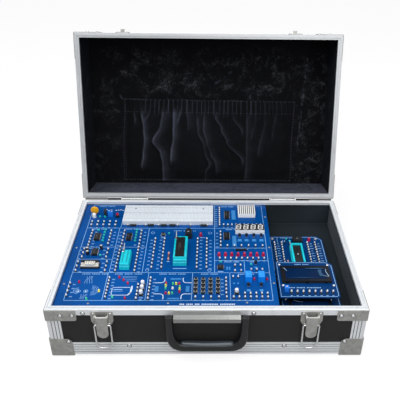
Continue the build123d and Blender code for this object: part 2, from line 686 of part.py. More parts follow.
middle_half = HINGE_LENGTH / 2 - KNUCKLE_LENGTH
with BuildPart() as base_leaf:
    add(hinge_leaf(-1, ((-HINGE_LENGTH / 2, -middle_half), (middle_half, HINGE_LENGTH / 2))))
    with BuildSketch(Plane.YZ.offset(-HINGE_LENGTH / 2)):
        with Locations((HINGE_AXIS_Y, PARTING_Z)):
            Circle(HINGE_PIN_RADIUS)
    extrude(amount=HINGE_LENGTH)

with BuildPart() as lid_leaf:
    add(hinge_leaf(1, ((END_PLAY - middle_half, middle_half - END_PLAY),)))
    with BuildSketch(Plane.YZ.offset(-HINGE_LENGTH / 2)):
        with Locations((HINGE_AXIS_Y, PARTING_Z)):
            Circle(HINGE_PIN_RADIUS + RUNNING_GAP)
    extrude(amount=HINGE_LENGTH, mode=Mode.SUBTRACT)

base_hinge_leaves = at_both(base_leaf.part, HINGE_X)
base_hinge_leaves.label = "base_hinge_leaves"
lid_hinge_leaves = opened(at_both(lid_leaf.part, HINGE_X))
lid_hinge_leaves.label = "lid_hinge_leaves"

# ------------------------------------------------------------------ latches

LATCH_PIVOT_Y = FRONT_Y - LATCH_STANDOFF
LEVER_PIVOT_Z = PARTING_Z - LATCH_PIVOT_DROP
BAIL_PIVOT_Z = LEVER_PIVOT_Z - LATCH_ARM
plate_top_z = PARTING_Z - LATCH_PLATE_DROP
plate_low_z = plate_top_z - LATCH_PLATE[1]
front_face = Plane((0, FRONT_Y, 0), x_dir=(1, 0, 0), z_dir=(0, -1, 0))
lever_half = LEVER_WIDTH / 2
ear_inner = lever_half + 4 * JOINT_GAP

with BuildPart() as latch_plate:
    with BuildSketch(front_face):
        with BuildLine():
            half, low_half = LATCH_PLATE[0] / 2, LATCH_PLATE[0] / 2 - LATCH_TAPER[0]
            shoulder_z = plate_low_z + LATCH_TAPER[1]
            Polyline((-half, plate_top_z), (-half, shoulder_z), (-low_half, plate_low_z),
                     (low_half, plate_low_z), (half, shoulder_z), (half, plate_top_z), close=True)
        make_face()
    extrude(amount=STEEL)
    fillet(latch_plate.edges().filter_by(Axis.Y), LATCH_TAPER[0] / 2)
    # Ears either side of the lever, with the pivot pin between them
    for hand in (-1, 1):
        with BuildSketch(Plane.YZ.offset(hand * (ear_inner + EAR / 2) - EAR / 2)):
            with Locations((LATCH_PIVOT_Y, LEVER_PIVOT_Z)):
                Circle(EAR_RADIUS)
            with Locations(((FRONT_Y + LATCH_PIVOT_Y) / 2, LEVER_PIVOT_Z)):
                Rectangle(LATCH_STANDOFF, 2 * EAR_RADIUS)
        extrude(amount=EAR)
    with BuildSketch(Plane.YZ.offset(-ear_inner - EAR)):
        with Locations((LATCH_PIVOT_Y, LEVER_PIVOT_Z)):
            Circle(LATCH_PIN_RADIUS)
    extrude(amount=2 * (ear_inner + EAR))
latch_base_plates = at_both(latch_plate.part, LATCH_X)
latch_base_plates.label = "latch_base_plates"

lever_back_y = LATCH_PIVOT_Y + LEVER_DEPTH / 2
lever_front_y = LATCH_PIVOT_Y - LEVER_DEPTH / 2 - STEEL / 2
flange_low_z = BAIL_PIVOT_Z - EAR_RADIUS
with BuildPart() as latch_lever:
    # Channel: two side flanges and the web across their front, rounded over the pivot
    with BuildSketch(Plane.YZ.offset(-lever_half)):
        with BuildLine():
            nose_z = LEVER_PIVOT_Z + LEVER_NOSE
            Polyline((lever_back_y, flange_low_z), (lever_back_y, nose_z - LEVER_DEPTH / 2),
                     (LATCH_PIVOT_Y, nose_z), (lever_front_y, nose_z - LEVER_DEPTH / 2),
                     (lever_front_y, flange_low_z), close=True)
        make_face()
    extrude(amount=LEVER_WIDTH)
    with BuildSketch(Plane.YZ.offset(STEEL - lever_half)):
        with Locations(((lever_front_y + STEEL + lever_back_y + STEEL) / 2, (flange_low_z + nose_z) / 2)):
            Rectangle(lever_back_y - lever_front_y, nose_z - flange_low_z + 1)
    extrude(amount=LEVER_WIDTH - 2 * STEEL, mode=Mode.SUBTRACT)
    for z, radius in ((LEVER_PIVOT_Z, LATCH_PIN_RADIUS), (BAIL_PIVOT_Z, BAIL_WIRE / 2)):
        with BuildSketch(Plane.YZ.offset(-lever_half)):
            with Locations((LATCH_PIVOT_Y, z)):
                Circle(radius + RUNNING_GAP)
        extrude(amount=LEVER_WIDTH, mode=Mode.SUBTRACT)
    # Tongue: the web carried on down to a round tip
    tip_z = LEVER_PIVOT_Z - LEVER_TIP
    with BuildSketch(Plane((0, lever_front_y, 0), x_dir=(1, 0, 0), z_dir=(0, 1, 0)).rotated((0, 0, 0))):
        with Locations((0, -(tip_z + lever_half))):
            Circle(lever_half)
        with Locations((0, -(tip_z + lever_half + flange_low_z) / 2)):
            Rectangle(LEVER_WIDTH, flange_low_z - tip_z - lever_half + 2 * STEEL)
    extrude(amount=STEEL)

bail_leg_x = (BAIL_WIDTH - BAIL_WIRE) / 2
bail_bottom_z = BAIL_PIVOT_Z - BAIL_LENGTH
bail_corner = bail_leg_x - 2.0
with BuildPart() as latch_bail:
    inner_x = lever_half - 2 * STEEL
    # The wire's bends are short straight runs, so the wire keeps flat sides
    wide_bend = [
        (2.0 + bail_corner * sin(radians(angle)), bail_bottom_z + bail_corner * (1 - cos(radians(angle))))
        for angle in (0, 22.5, 45, 67.5, 90)
    ]
    one_side = wide_bend + [(bail_leg_x, BAIL_PIVOT_Z), (inner_x, BAIL_PIVOT_Z)]
    with BuildLine():
        Polyline(*[(-x, LATCH_PIVOT_Y, z) for x, z in reversed(one_side)],
                 *[(x, LATCH_PIVOT_Y, z) for x, z in one_side])
    with BuildSketch(Plane((-inner_x, LATCH_PIVOT_Y, BAIL_PIVOT_Z), z_dir=(-1, 0, 0))):
        RegularPolygon(BAIL_WIRE / 2, ROUND_SIDES)
    sweep(transition=Transition.RIGHT)

catch_wire_z = BAIL_PIVOT_Z + BAIL_LENGTH
catch_shelf_z = catch_wire_z - BAIL_WIRE / 2 - CATCH_CLEARANCE
with BuildPart() as latch_catch:
    with BuildSketch(front_face):
        with Locations((0, catch_shelf_z)):
            RectangleRounded(*CATCH_PLATE, radius=LATCH_TAPER[0] / 2)
    extrude(amount=STEEL)
    # Hook: a shelf standing out from the plate, turned up at its edge
    with BuildSketch(Plane.YZ.offset(-CATCH_HOOK_WIDTH / 2)):
        with BuildLine():
            edge_y = FRONT_Y - CATCH_HOOK_DEPTH
            Polyline((FRONT_Y, catch_shelf_z - STEEL), (edge_y, catch_shelf_z - STEEL),
                     (edge_y, catch_shelf_z + CATCH_LIP), (edge_y + STEEL, catch_shelf_z + CATCH_LIP),
                     (edge_y + STEEL, catch_shelf_z), (FRONT_Y, catch_shelf_z), close=True)
        make_face()
    extrude(amount=CATCH_HOOK_WIDTH)
lid_catches = opened(at_both(latch_catch.part, LATCH_X))
lid_catches.label = "lid_catches"

# ------------------------------------------------------------------ handle

HANDLE_PIVOT_Y = FRONT_Y - HANDLE_STANDOFF
HANDLE_PIVOT_Z = PARTING_Z - HANDLE_PIVOT_DROP
HOOD_FRONT_Y = HANDLE_PIVOT_Y - HANDLE_ROD_RADIUS - 2.5
HOOD_TOP_Z = PARTING_Z - 2.0
HOOD_LIP_Z = HANDLE_PIVOT_Z - 4.0
BRACKET_LOW_Z = PARTING_Z - 21.0

with BuildPart() as handle_bracket:
    # Back plate and a hood that rolls out over the pivot rod
    with BuildSketch(Plane.YZ.offset(-BRACKET_WIDTH / 2)):
        with BuildLine():
            outer = [(FRONT_Y, BRACKET_LOW_Z), (FRONT_Y, HOOD_TOP_Z), (HANDLE_PIVOT_Y, HOOD_TOP_Z),
                     (HOOD_FRONT_Y, HANDLE_PIVOT_Z + 3.0), (HOOD_FRONT_Y, HOOD_LIP_Z)]
            inner = [(HOOD_FRONT_Y + STEEL, HOOD_LIP_Z), (HOOD_FRONT_Y + STEEL, HANDLE_PIVOT_Z + 2.5),
                     (HANDLE_PIVOT_Y, HOOD_TOP_Z - STEEL), (FRONT_Y - STEEL, HOOD_TOP_Z - STEEL),
                     (FRONT_Y - STEEL, BRACKET_LOW_Z)]
            Polyline(*outer, *inner, close=True)
        make_face()
    extrude(amount=BRACKET_WIDTH)
    # The hood's lower edge rises to an arch in the middle
    with BuildSketch(Plane.XZ.offset(-HANDLE_PIVOT_Y - HANDLE_ROD_RADIUS)):
        with BuildLine():
            arch_half = BRACKET_WIDTH / 3.2
            ThreePointArc((-arch_half, HOOD_LIP_Z), (0, HOOD_LIP_Z + HOOD_ARCH), (arch_half, HOOD_LIP_Z))
            Line((arch_half, HOOD_LIP_Z), (-arch_half, HOOD_LIP_Z))
        make_face()
    extrude(amount=4 * STEEL, mode=Mode.SUBTRACT)
    # Lugs that carry the rod
    for x in (-LUG_X, LUG_X):
        with BuildSketch(Plane.YZ.offset(x - LUG / 2)):
            with Locations((HANDLE_PIVOT_Y, HANDLE_PIVOT_Z)):
                Circle(HANDLE_ROD_RADIUS + 1.6)
            with Locations(((HANDLE_PIVOT_Y + FRONT_Y) / 2, HANDLE_PIVOT_Z)):
                Rectangle(HANDLE_STANDOFF, 2 * (HANDLE_ROD_RADIUS + 1.6))
        extrude(amount=LUG)
    with BuildSketch(Plane.YZ.offset(-BRACKET_WIDTH / 2)):
        with Locations((HANDLE_PIVOT_Y, HANDLE_PIVOT_Z)):
            Circle(HANDLE_ROD_RADIUS + RUNNING_GAP)
    extrude(amount=BRACKET_WIDTH, mode=Mode.SUBTRACT)
handle_bracket.part.label = "handle_bracket"

arm_top_z = HANDLE_PIVOT_Z + HANDLE_THICKNESS / 2
handle_low_z = HANDLE_PIVOT_Z - HANDLE_DROP
corner_low_z = handle_low_z + HANDLE_SAG
grip_top_z = handle_low_z + GRIP_HEIGHT
handle_half = HANDLE_WIDTH / 2
gap_half = HANDLE_GAP / 2
low_half = handle_half - HANDLE_TAPER
gap_low_half = gap_half - 4 * HANDLE_TAPER
with BuildPart() as carry_handle:
    with BuildSketch(Plane.XZ.offset(-HANDLE_PIVOT_Y - HANDLE_THICKNESS / 2)) as loop:
        with BuildLine():
            Polyline((-low_half, corner_low_z), (-handle_half, arm_top_z), (-gap_half, arm_top_z),
                     (-gap_low_half, grip_top_z))
            ThreePointArc((-gap_low_half, grip_top_z), (0, grip_top_z - HANDLE_SAG),
                          (gap_low_half, grip_top_z))
            Polyline((gap_low_half, grip_top_z), (gap_half, arm_top_z), (handle_half, arm_top_z),
                     (low_half, corner_low_z))
            ThreePointArc((low_half, corner_low_z), (0, handle_low_z), (-low_half, corner_low_z))
        make_face()
        fillet(loop.vertices().group_by(Axis.Y)[0], HANDLE_CORNER)
    extrude(amount=HANDLE_THICKNESS)
    # Arm ends rounded about the pivot
    fillet(carry_handle.edges().filter_by(Axis.X).group_by(Axis.Z)[-1], HANDLE_THICKNESS / 2 - 0.3)
    # Grip bar, a long soft swelling between the arms
    for hand in (-1, 0, 1):
        bulge = GRIP_BULGE if hand == 0 else -GRIP_BULGE / 4
        rise = 0 if hand == 0 else HANDLE_SAG
        with BuildSketch(Plane.YZ.offset(hand * (gap_low_half - 2))):
            with Locations((HANDLE_PIVOT_Y, handle_low_z + GRIP_HEIGHT / 2 - 0.5 + rise)):
                RectangleRounded(HANDLE_THICKNESS + 2 * bulge, GRIP_HEIGHT - 3, GRIP_EDGE)
    loft(ruled=True)
    with BuildSketch(Plane.YZ.offset(-gap_half - 1)):
        with Locations((HANDLE_PIVOT_Y, HANDLE_PIVOT_Z)):
            Circle(HANDLE_ROD_RADIUS)
    extrude(amount=2 * (gap_half + 1))
carry_handle.part.label = "carry_handle"

# ------------------------------------------------------------------ case, upper half

lid_low_z = PARTING_Z + PARTING_GAP + RIM_WEB + JOINT_GAP
ceiling_z = LID_TOP_Z - PANEL_SET - PANEL       # underside of the top board
lining_z = ceiling_z - LINING
with BuildPart() as shut_panels:
    add(boxed_walls(PANEL_SET, PANEL, lid_low_z, ceiling_z - JOINT_GAP))
    with BuildSketch(Plane.XY.offset(ceiling_z)):
        Rectangle(CASE_WIDTH - 2 * PANEL_SET, CASE_DEPTH - 2 * PANEL_SET)
    extrude(amount=PANEL)
lid_panels = opened(shut_panels.part)
lid_panels.label = "lid_panels"

with BuildPart() as shut_frame:
    add(mitred_frame(rim_outline(1)))
    add(mitred_frame(edging_outline(LID_TOP_Z, -1)))
    add(at_corners(corner_post(PARTING_Z + PARTING_GAP + RIM_FLANGE + JOINT_GAP, LID_TOP_Z - EDGE_LEG - JOINT_GAP)))
lid_frame = opened(shut_frame.part)
lid_frame.label = "lid_frame"

with BuildPart() as shut_fittings:
    add(at_corners(corner_cap(LID_TOP_Z, -1)))
    add(at_corners(corner_bracket(1)))
lid_corner_fittings = opened(shut_fittings.part)
lid_corner_fittings.label = "lid_corner_fittings"

with BuildPart() as shut_lining:
    add(boxed_walls(LINING_SET, LINING, lid_low_z, lining_z - JOINT_GAP))
    with BuildSketch(Plane.XY.offset(lining_z)):
        Rectangle(CASE_WIDTH - 2 * LINING_SET, CASE_DEPTH - 2 * LINING_SET)
    extrude(amount=LINING - JOINT_GAP / 2)
lid_lining = opened(shut_lining.part)
lid_lining.label = "lid_lining"

# Pocket: a flat pouch sewn to the lining at its sides and foot, its mouth towards the lid's front
pocket_foot_y = BACK_Y - POCKET_FOOT
pocket_mouth_y = pocket_foot_y - POCKET_HEIGHT
pocket_face_z = lining_z - JOINT_GAP - POCKET_DEPTH
with BuildPart() as shut_pocket:
    mouth_half = POCKET_WIDTH / 2
    foot_half = POCKET_WIDTH / 2 + POCKET_SPREAD
    outline = [(POCKET_SHIFT - mouth_half, pocket_mouth_y), (-foot_half, pocket_foot_y),
               (foot_half, pocket_foot_y), (POCKET_SHIFT + mouth_half, pocket_mouth_y)]
    edge = POCKET_CLOTH
    inner = [(POCKET_SHIFT + mouth_half - edge, pocket_mouth_y), (foot_half - edge, pocket_foot_y - edge),
             (edge - foot_half, pocket_foot_y - edge), (POCKET_SHIFT - mouth_half + edge, pocket_mouth_y)]
    with BuildSketch(Plane.XY.offset(pocket_face_z)):
        with BuildLine():
            Polyline(*outline, close=True)
        make_face()
    extrude(amount=POCKET_CLOTH)
    with BuildSketch(Plane.XY.offset(pocket_face_z)):
        with BuildLine():
            Polyline(*outline, *inner, close=True)
        make_face()
    extrude(amount=POCKET_DEPTH)
lid_pocket = opened(shut_pocket.part)
lid_pocket.label = "lid_pocket"

# ------------------------------------------------------------------ circuit board forms


def slab(left, right, front, back, low, height):
    """Plain block between the given sides, standing on the given height."""
    with BuildPart() as block:
        with BuildSketch(Plane.XY.offset(low)):
            with Locations(((left + right) / 2, (front + back) / 2)):
                Rectangle(right - left, back - front)
        extrude(amount=height)
    return block.part


def chip(left, right, front, back, low):
    """Moulded package, drafted above and below its lead line, with the notch that marks its first pin."""
    with BuildPart() as package:
        with BuildSketch(Plane.XY.offset(low + CHIP_HEIGHT / 2)):
            with Locations(((left + right) / 2, (front + back) / 2)):
                Rectangle(right - left, back - front)
        extrude(amount=CHIP_HEIGHT / 2, both=True, taper=CHIP_DRAFT)
        with BuildSketch(Plane.XY.offset(low + CHIP_HEIGHT)):
            with Locations(((left + right) / 2, back)):
                RegularPolygon(CHIP_NOTCH, 8)
        extrude(amount=-CHIP_NOTCH / 2, mode=Mode.SUBTRACT)
    return package.part


def zif_socket(left, right, front, back, low):
    """Zero-insertion-force socket: a base, the plate that slides on it, and the notch for its lever."""
    with BuildPart() as socket:
        add(slab(left, right, front, back, low, ZIF_BASE))
        chamfer(socket.faces().sort_by(Axis.Z)[-1].edges(), ZIF_STEP)
        add(slab(left + ZIF_STEP, right - ZIF_STEP, front + ZIF_STEP, back - ZIF_STEP, low, ZIF_HEIGHT))
        chamfer(socket.faces().sort_by(Axis.Z)[-1].edges(), ZIF_STEP)
        width, depth = ZIF_NOTCH
        add(slab(left - 1, left + width, back - depth, back + 1, low + ZIF_PIVOT[1] - ZIF_HUB - 0.6, ZIF_HEIGHT),
            mode=Mode.SUBTRACT)
        with BuildSketch(Plane.YZ.offset(left)):
            with Locations((back - ZIF_PIVOT[0], low + ZIF_PIVOT[1])):
                Circle(ZIF_ROD_RADIUS + RUNNING_GAP)
        extrude(amount=2 * width, mode=Mode.SUBTRACT)
    return socket.part


def zif_lever(left, back, low):
    """A socket's lever lying back: a hub on its pin, a tab behind the socket and a steel rod."""
    hub_left = left + ZIF_STEP
    hub_width = ZIF_NOTCH[0] - 2 * ZIF_STEP
    pivot = (back - ZIF_PIVOT[0], low + ZIF_PIVOT[1])
    with BuildPart() as lever:
        with BuildSketch(Plane.YZ.offset(hub_left)):
            with Locations(pivot):
                Circle(ZIF_HUB)
            with Locations((pivot[0] + (ZIF_PIVOT[0] + ZIF_TAB) / 2, pivot[1] + ZIF_HUB / 2 - 0.6)):
                Rectangle(ZIF_PIVOT[0] + ZIF_TAB, ZIF_HUB)
        extrude(amount=hub_width)
        with BuildSketch(Plane.YZ.offset(hub_left)):
            with Locations(pivot):
                Circle(ZIF_ROD_RADIUS)
        extrude(amount=ZIF_NOTCH[0] * 2 - 2 * ZIF_STEP)
        rise = (0, cos(radians(ZIF_ROD_SLOPE)), sin(radians(ZIF_ROD_SLOPE)))
        root = (hub_left + hub_width / 2, pivot[0] + ZIF_HUB, pivot[1] + ZIF_HUB / 2 - 0.9)
        with BuildSketch(Plane(root, x_dir=(1, 0, 0), z_dir=rise)):
            Circle(ZIF_ROD_RADIUS)
        extrude(amount=ZIF_ROD)
    return lever.part


def spaced(start, end, count):
    """Evenly spaced points from start to end."""
    steps = max(count - 1, 1)
    return [
        (start[0] + (end[0] - start[0]) * step / steps, start[1] + (end[1] - start[1]) * step / steps)
        for step in range(count)
    ]


def pins(lines, low, height, radius):
    """Faceted contact posts along the given lines."""
    with BuildPart() as posts:
        with BuildSketch(Plane.XY.offset(low)):
            for start, end, count in lines:
                with Locations(*spaced(start, end, count)):
                    RegularPolygon(radius, POST_SIDES, rotation=180 / POST_SIDES)
        extrude(amount=height)
    return posts.part


# ------------------------------------------------------------------ main board

with BuildPart() as main_board:
    add(slab(BOARD_LEFT, BOARD_RIGHT, -BOARD_LENGTH / 2, BOARD_LENGTH / 2, BOARD_TOP_Z - BOARD, BOARD))
    with BuildSketch(Plane.XY.offset(BOARD_TOP_Z)):
        with Locations(*BOARD_SCREWS):
            RegularPolygon(SCREW_HOLE / 2, ROUND_SIDES)
    extrude(amount=-BOARD, mode=Mode.SUBTRACT)
main_board.part.label = "main_board"

with BuildPart() as breadboard:
    left, right, front, back = BREADBOARD
    add(slab(left, right, front, back, BOARD_TOP_Z, BREADBOARD_HEIGHT))
    chamfer(breadboard.faces().sort_by(Axis.Z)[-1].edges(), 0.5)
    add(slab(left, right, (front + back - TRENCH) / 2, (front + back + TRENCH) / 2,
             BOARD_TOP_Z + BREADBOARD_HEIGHT - TRENCH, TRENCH + 1), mode=Mode.SUBTRACT)
breadboard.part.label = "breadboard"

core_zif_socket = zif_socket(*CORE_ZIF, BOARD_TOP_Z)
core_zif_socket.label = "core_zif_socket"
small_zif_socket = zif_socket(*SMALL_ZIF, BOARD_TOP_Z)
small_zif_socket.label = "small_zif_socket"
core_zif_lever = zif_lever(CORE_ZIF[0], CORE_ZIF[3], BOARD_TOP_Z)
core_zif_lever.label = "core_zif_lever"
small_zif_lever = zif_lever(SMALL_ZIF[0], SMALL_ZIF[3], BOARD_TOP_Z)
small_zif_lever.label = "small_zif_lever"

with BuildPart() as logic_chips:
    add(chip(*CORE_CHIP, BOARD_TOP_Z + ZIF_HEIGHT))
    for left, right, front, back in CHIPS:
        add(chip(left, right, front, back, BOARD_TOP_Z + CHIP_STANDOFF))
        # Narrow foot under each package, where its leads enter the board
        add(slab(left + 1.2, right - 1.2, front + 0.8, back - 0.8, BOARD_TOP_Z, 2 * CHIP_STANDOFF))
logic_chips.part.label = "logic_chips"

with BuildPart() as indicator_leds:
    for kind, places in (("large", LARGE_LEDS), ("small", SMALL_LEDS)):
        with BuildPart(mode=Mode.PRIVATE) as lamp:
            with BuildSketch(Plane.XY.offset(BOARD_TOP_Z)):
                RegularPolygon(LED_RADIUS[kind], ROUND_SIDES)
            extrude(amount=LED_BODY[kind])
            chamfer(lamp.faces().sort_by(Axis.Z)[-1].edges(), LED_RADIUS[kind] * 0.45)
        with Locations(*[(x, y, 0) for x, y in places]):
            add(lamp.part)
indicator_leds.part.label = "indicator_leds"

digit_display = slab(*DISPLAY, BOARD_TOP_Z, DISPLAY_HEIGHT)
digit_display.label = "digit_display"
dot_matrix_display = slab(*MATRIX, BOARD_TOP_Z, MATRIX_HEIGHT)
dot_matrix_display.label = "dot_matrix_display"

with BuildPart() as relays:
    for place in RELAYS:
        add(slab(*place, BOARD_TOP_Z, RELAY_HEIGHT))
    chamfer(relays.faces().group_by(Axis.Z)[-1].edges(), 0.5)
relays.part.label = "relays"

jumper_posts = pins(POST_LINES, BOARD_TOP_Z, POST_HEIGHT, POST_RADIUS)
jumper_posts.label = "jumper_posts"

with BuildPart() as discrete_parts:
    # Transistors: flat-fronted cases on three legs
    for x, y in TRANSISTORS:
        with BuildSketch(Plane.XY.offset(BOARD_TOP_Z + TRANSISTOR_LEG)):
            with BuildLine():
                half = TRANSISTOR / 2
                ThreePointArc((x - half, y), (x, y + half), (x + half, y))
                Polyline((x + half, y), (x + half, y - 1.4), (x - half, y - 1.4), (x - half, y))
            make_face()
        extrude(amount=TRANSISTOR)
        with BuildSketch(Plane.XY.offset(BOARD_TOP_Z)):
            with Locations((x, y)):
                with GridLocations(TRANSISTOR_PITCH, 0, 3, 1):
                    Rectangle(0.5, 0.5)
        extrude(amount=TRANSISTOR_LEG + 1)
    # Ceramic capacitors
    with BuildSketch(Plane.XY.offset(BOARD_TOP_Z)):
        with Locations(*CAPACITORS):
            Rectangle(*CAPACITOR[:2])
    extrude(amount=CAPACITOR[2])
    # Electrolytic capacitors, resistor, resistor network, trimmer
    with BuildSketch(Plane.XY.offset(BOARD_TOP_Z)):
        with Locations(*CANS):
            Circle(CAN[0])
    extrude(amount=CAN[1])
    with BuildSketch(Plane.XZ.offset(-RESISTOR[1] - RESISTOR_LENGTH / 2)):
        with Locations((RESISTOR[0], BOARD_TOP_Z + RESISTOR_RADIUS)):
            Circle(RESISTOR_RADIUS)
    extrude(amount=RESISTOR_LENGTH)
    for place in (NETWORK, TRIMMER):
        add(slab(*place[:4], BOARD_TOP_Z, place[4]))
    # Sensors: an upright disc on a foot, two round parts and a leaning one
    with BuildSketch(Plane.XZ.offset(-DISC[1] - 2)):
        with Locations((DISC[0], BOARD_TOP_Z + DISC[2] / 2 + 1)):
            Circle(DISC[2] / 2)
    extrude(amount=4)
    add(slab(DISC[0] - 2, DISC[0] + 2, DISC[1] - 1, DISC[1] + 1, BOARD_TOP_Z, 3))
    for x, y, radius, height in ROUND_SENSORS:
        with BuildSketch(Plane.XY.offset(BOARD_TOP_Z)):
            with Locations((x, y)):
                Circle(radius)
        extrude(amount=height)
    with BuildSketch(Plane((LEANER[0], LEANER[1], BOARD_TOP_Z), x_dir=(1, 0, 0), z_dir=(0, LEAN, 1))):
        Circle(LEANER[2])
    extrude(amount=LEANER[3])
    with BuildSketch(Plane.XY.offset(BOARD_TOP_Z - 3)):
        with Locations(LEANER[:2]):
            Circle(4 * LEANER[2])
    extrude(amount=3, mode=Mode.SUBTRACT)
discrete_parts.part.label = "discrete_parts"

with BuildPart() as board_connectors:
    # Power jack, with its mouth at the back
    left, right, front, back = JACK
    middle = (left + right) / 2
    add(slab(left, right, front, back, BOARD_TOP_Z, JACK_HEIGHT))
    fillet(board_connectors.faces().sort_by(Axis.Z)[-1].edges().filter_by(Axis.Y), JACK_ROUND)
    with BuildSketch(Plane((middle, back, BOARD_TOP_Z + JACK_HEIGHT / 2), x_dir=(-1, 0, 0), z_dir=(0, 1, 0))):
        Circle(JACK_MOUTH)
        Circle(JACK_PIN, mode=Mode.SUBTRACT)
    extrude(amount=-JACK_DEPTH, mode=Mode.SUBTRACT)
    # Serial connector: a flange with the D-shaped shell standing on it
    left, right, front, back = SERIAL
    middle = (left + right) / 2, (front + back) / 2
    add(slab(left, right, front, back, BOARD_TOP_Z, SERIAL_FLANGE))
    with BuildSketch(Plane.XY.offset(BOARD_TOP_Z + SERIAL_FLANGE)):
        with BuildLine():
            long_half, short_half, shell_half = SERIAL_SHELL
            Polyline((middle[0] - long_half, middle[1] + shell_half), (middle[0] + long_half, middle[1] + shell_half),
                     (middle[0] + short_half, middle[1] - shell_half),
                     (middle[0] - short_half, middle[1] - shell_half), close=True)
        make_face()
    extrude(amount=SERIAL_RISE)
    with BuildSketch(Plane.XY.offset(BOARD_TOP_Z + SERIAL_FLANGE)):
        with Locations((left + SERIAL_SCREW, middle[1]), (right - SERIAL_SCREW, middle[1])):
            RegularPolygon(2.6, 6)
    extrude(amount=SERIAL_RISE - 2)
board_connectors.part.label = "board_connectors"

# ------------------------------------------------------------------ switches

switch_top_z = BOARD_TOP_Z + SWITCH_HEIGHT
stem_low_z = switch_top_z - STEM_DEPTH
key_places = [
    (KEY_ORIGIN[0] + KEY_PITCH[0] * column, KEY_ORIGIN[1] + KEY_PITCH[1] * row)
    for row in (3, 2, 1, 0)
    for column in (0, 1, 2, 3)
]
with BuildPart() as switch_bodies:
    with BuildSketch(Plane.XY.offset(BOARD_TOP_Z)):
        with Locations(*key_places, RESET, RELAY_BUTTON, *LEVEL_BUTTONS):
            Rectangle(SWITCH, SWITCH)
    extrude(amount=SWITCH_HEIGHT)
    with BuildSketch(Plane.XY.offset(stem_low_z - KEY_TRAVEL - SEAT_GAP)):
        with Locations(*key_places, RESET, RELAY_BUTTON, *LEVEL_BUTTONS):
            RegularPolygon(STEM_RADIUS + STEM_GAP, ROUND_SIDES, major_radius=False)
    extrude(amount=SWITCH_HEIGHT, mode=Mode.SUBTRACT)
switch_bodies.part.label = "switch_bodies"


def plunger(place, capped):
    """A switch's moving stem, with a round cap on it where there is one."""
    with BuildPart() as stem:
        with BuildSketch(Plane.XY.offset(stem_low_z)):
            with Locations(place):
                RegularPolygon(STEM_RADIUS, ROUND_SIDES, major_radius=False)
        extrude(amount=STEM_DEPTH + STEM_RISE)
        if capped:
            with BuildSketch(Plane.XY.offset(switch_top_z + CAP_RISE)):
                with Locations(place):
                    RegularPolygon(CAP_RADIUS, 2 * ROUND_SIDES)
            extrude(amount=CAP_TALL)
            chamfer(stem.faces().sort_by(Axis.Z)[-1].edges(), CAP_ROUNDING)
    return stem.part


plungers = {f"key_{number}": plunger(place, False) for number, place in enumerate(key_places, 1)}
plungers["reset_button"] = plunger(RESET, False)
plungers["relay_button"] = plunger(RELAY_BUTTON, True)
for number, place in enumerate(LEVEL_BUTTONS, 1):
    plungers[f"level_button_{number}"] = plunger(place, True)
for name, part in plungers.items():
    part.label = name

# ------------------------------------------------------------------ accessory boards

low_board_z = COMPARTMENT_Z + SEAT_GAP + MODULE_LEG
low_top_z = low_board_z + BOARD
high_board_z = low_top_z + SEAT_GAP + TALL_LEG
high_top_z = high_board_z + BOARD


def legs(places, low, height):
    """Hexagonal spacers under a board."""
    with BuildPart() as spacers:
        with BuildSketch(Plane.XY.offset(low)):
            with Locations(*places):
                RegularPolygon(MODULE_LEG_RADIUS, 6)
        extrude(amount=height)
    return spacers.part


with BuildPart() as spare_core_board:
    add(slab(*SPARE_CORE, low_board_z, BOARD))
    add(legs(SPARE_CORE_LEGS, COMPARTMENT_Z + SEAT_GAP, MODULE_LEG))
    add(zif_socket(*SPARE_ZIF, low_top_z))
    add(zif_lever(SPARE_ZIF[0], SPARE_ZIF[3], low_top_z))
    add(pins(SPARE_POSTS, low_top_z, POST_HEIGHT, POST_RADIUS * 0.85))
    add(slab(*SPARE_JACK, low_top_z, JACK_HEIGHT - 1))
    add(chip(*SPARE_CHIP, low_top_z + ZIF_HEIGHT))
spare_core_board.part.label = "spare_core_board"

with BuildPart() as lcd_board_upper:
    add(slab(*UPPER_LCD, high_board_z, BOARD))
    add(legs(UPPER_LCD_LEGS, high_board_z - TALL_LEG, TALL_LEG))
    add(slab(*UPPER_BEZEL, high_top_z, BEZEL_HEIGHT))
    left, right, front, back = UPPER_BEZEL
    add(slab(left + BEZEL, right - BEZEL, front + BEZEL, back - BEZEL, high_top_z + BEZEL_HEIGHT - 1, 2),
        mode=Mode.SUBTRACT)
    add(slab(*UPPER_TRIMMER, high_top_z, UPPER_TRIMMER_HEIGHT))
    add(pins(UPPER_POSTS, high_top_z, UPPER_POST_HEIGHT, POST_RADIUS))
lcd_board_upper.part.label = "lcd_board_upper"

with BuildPart() as lcd_board_lower:
    add(slab(*LOWER_LCD, low_board_z, BOARD))
    add(legs(LOWER_LCD_LEGS, COMPARTMENT_Z + SEAT_GAP, MODULE_LEG))
    add(slab(*LOWER_BEZEL, low_top_z, BEZEL_HEIGHT + 1))
    left, right, front, back = LOWER_BEZEL
    add(slab(left + BEZEL, right - BEZEL, front + BEZEL, back - BEZEL, low_top_z + BEZEL_HEIGHT, 2),
        mode=Mode.SUBTRACT)
    add(slab(*LOWER_TRIMMER, low_top_z, UPPER_TRIMMER_HEIGHT))
lcd_board_lower.part.label = "lcd_board_lower"

# ------------------------------------------------------------------ write the parts

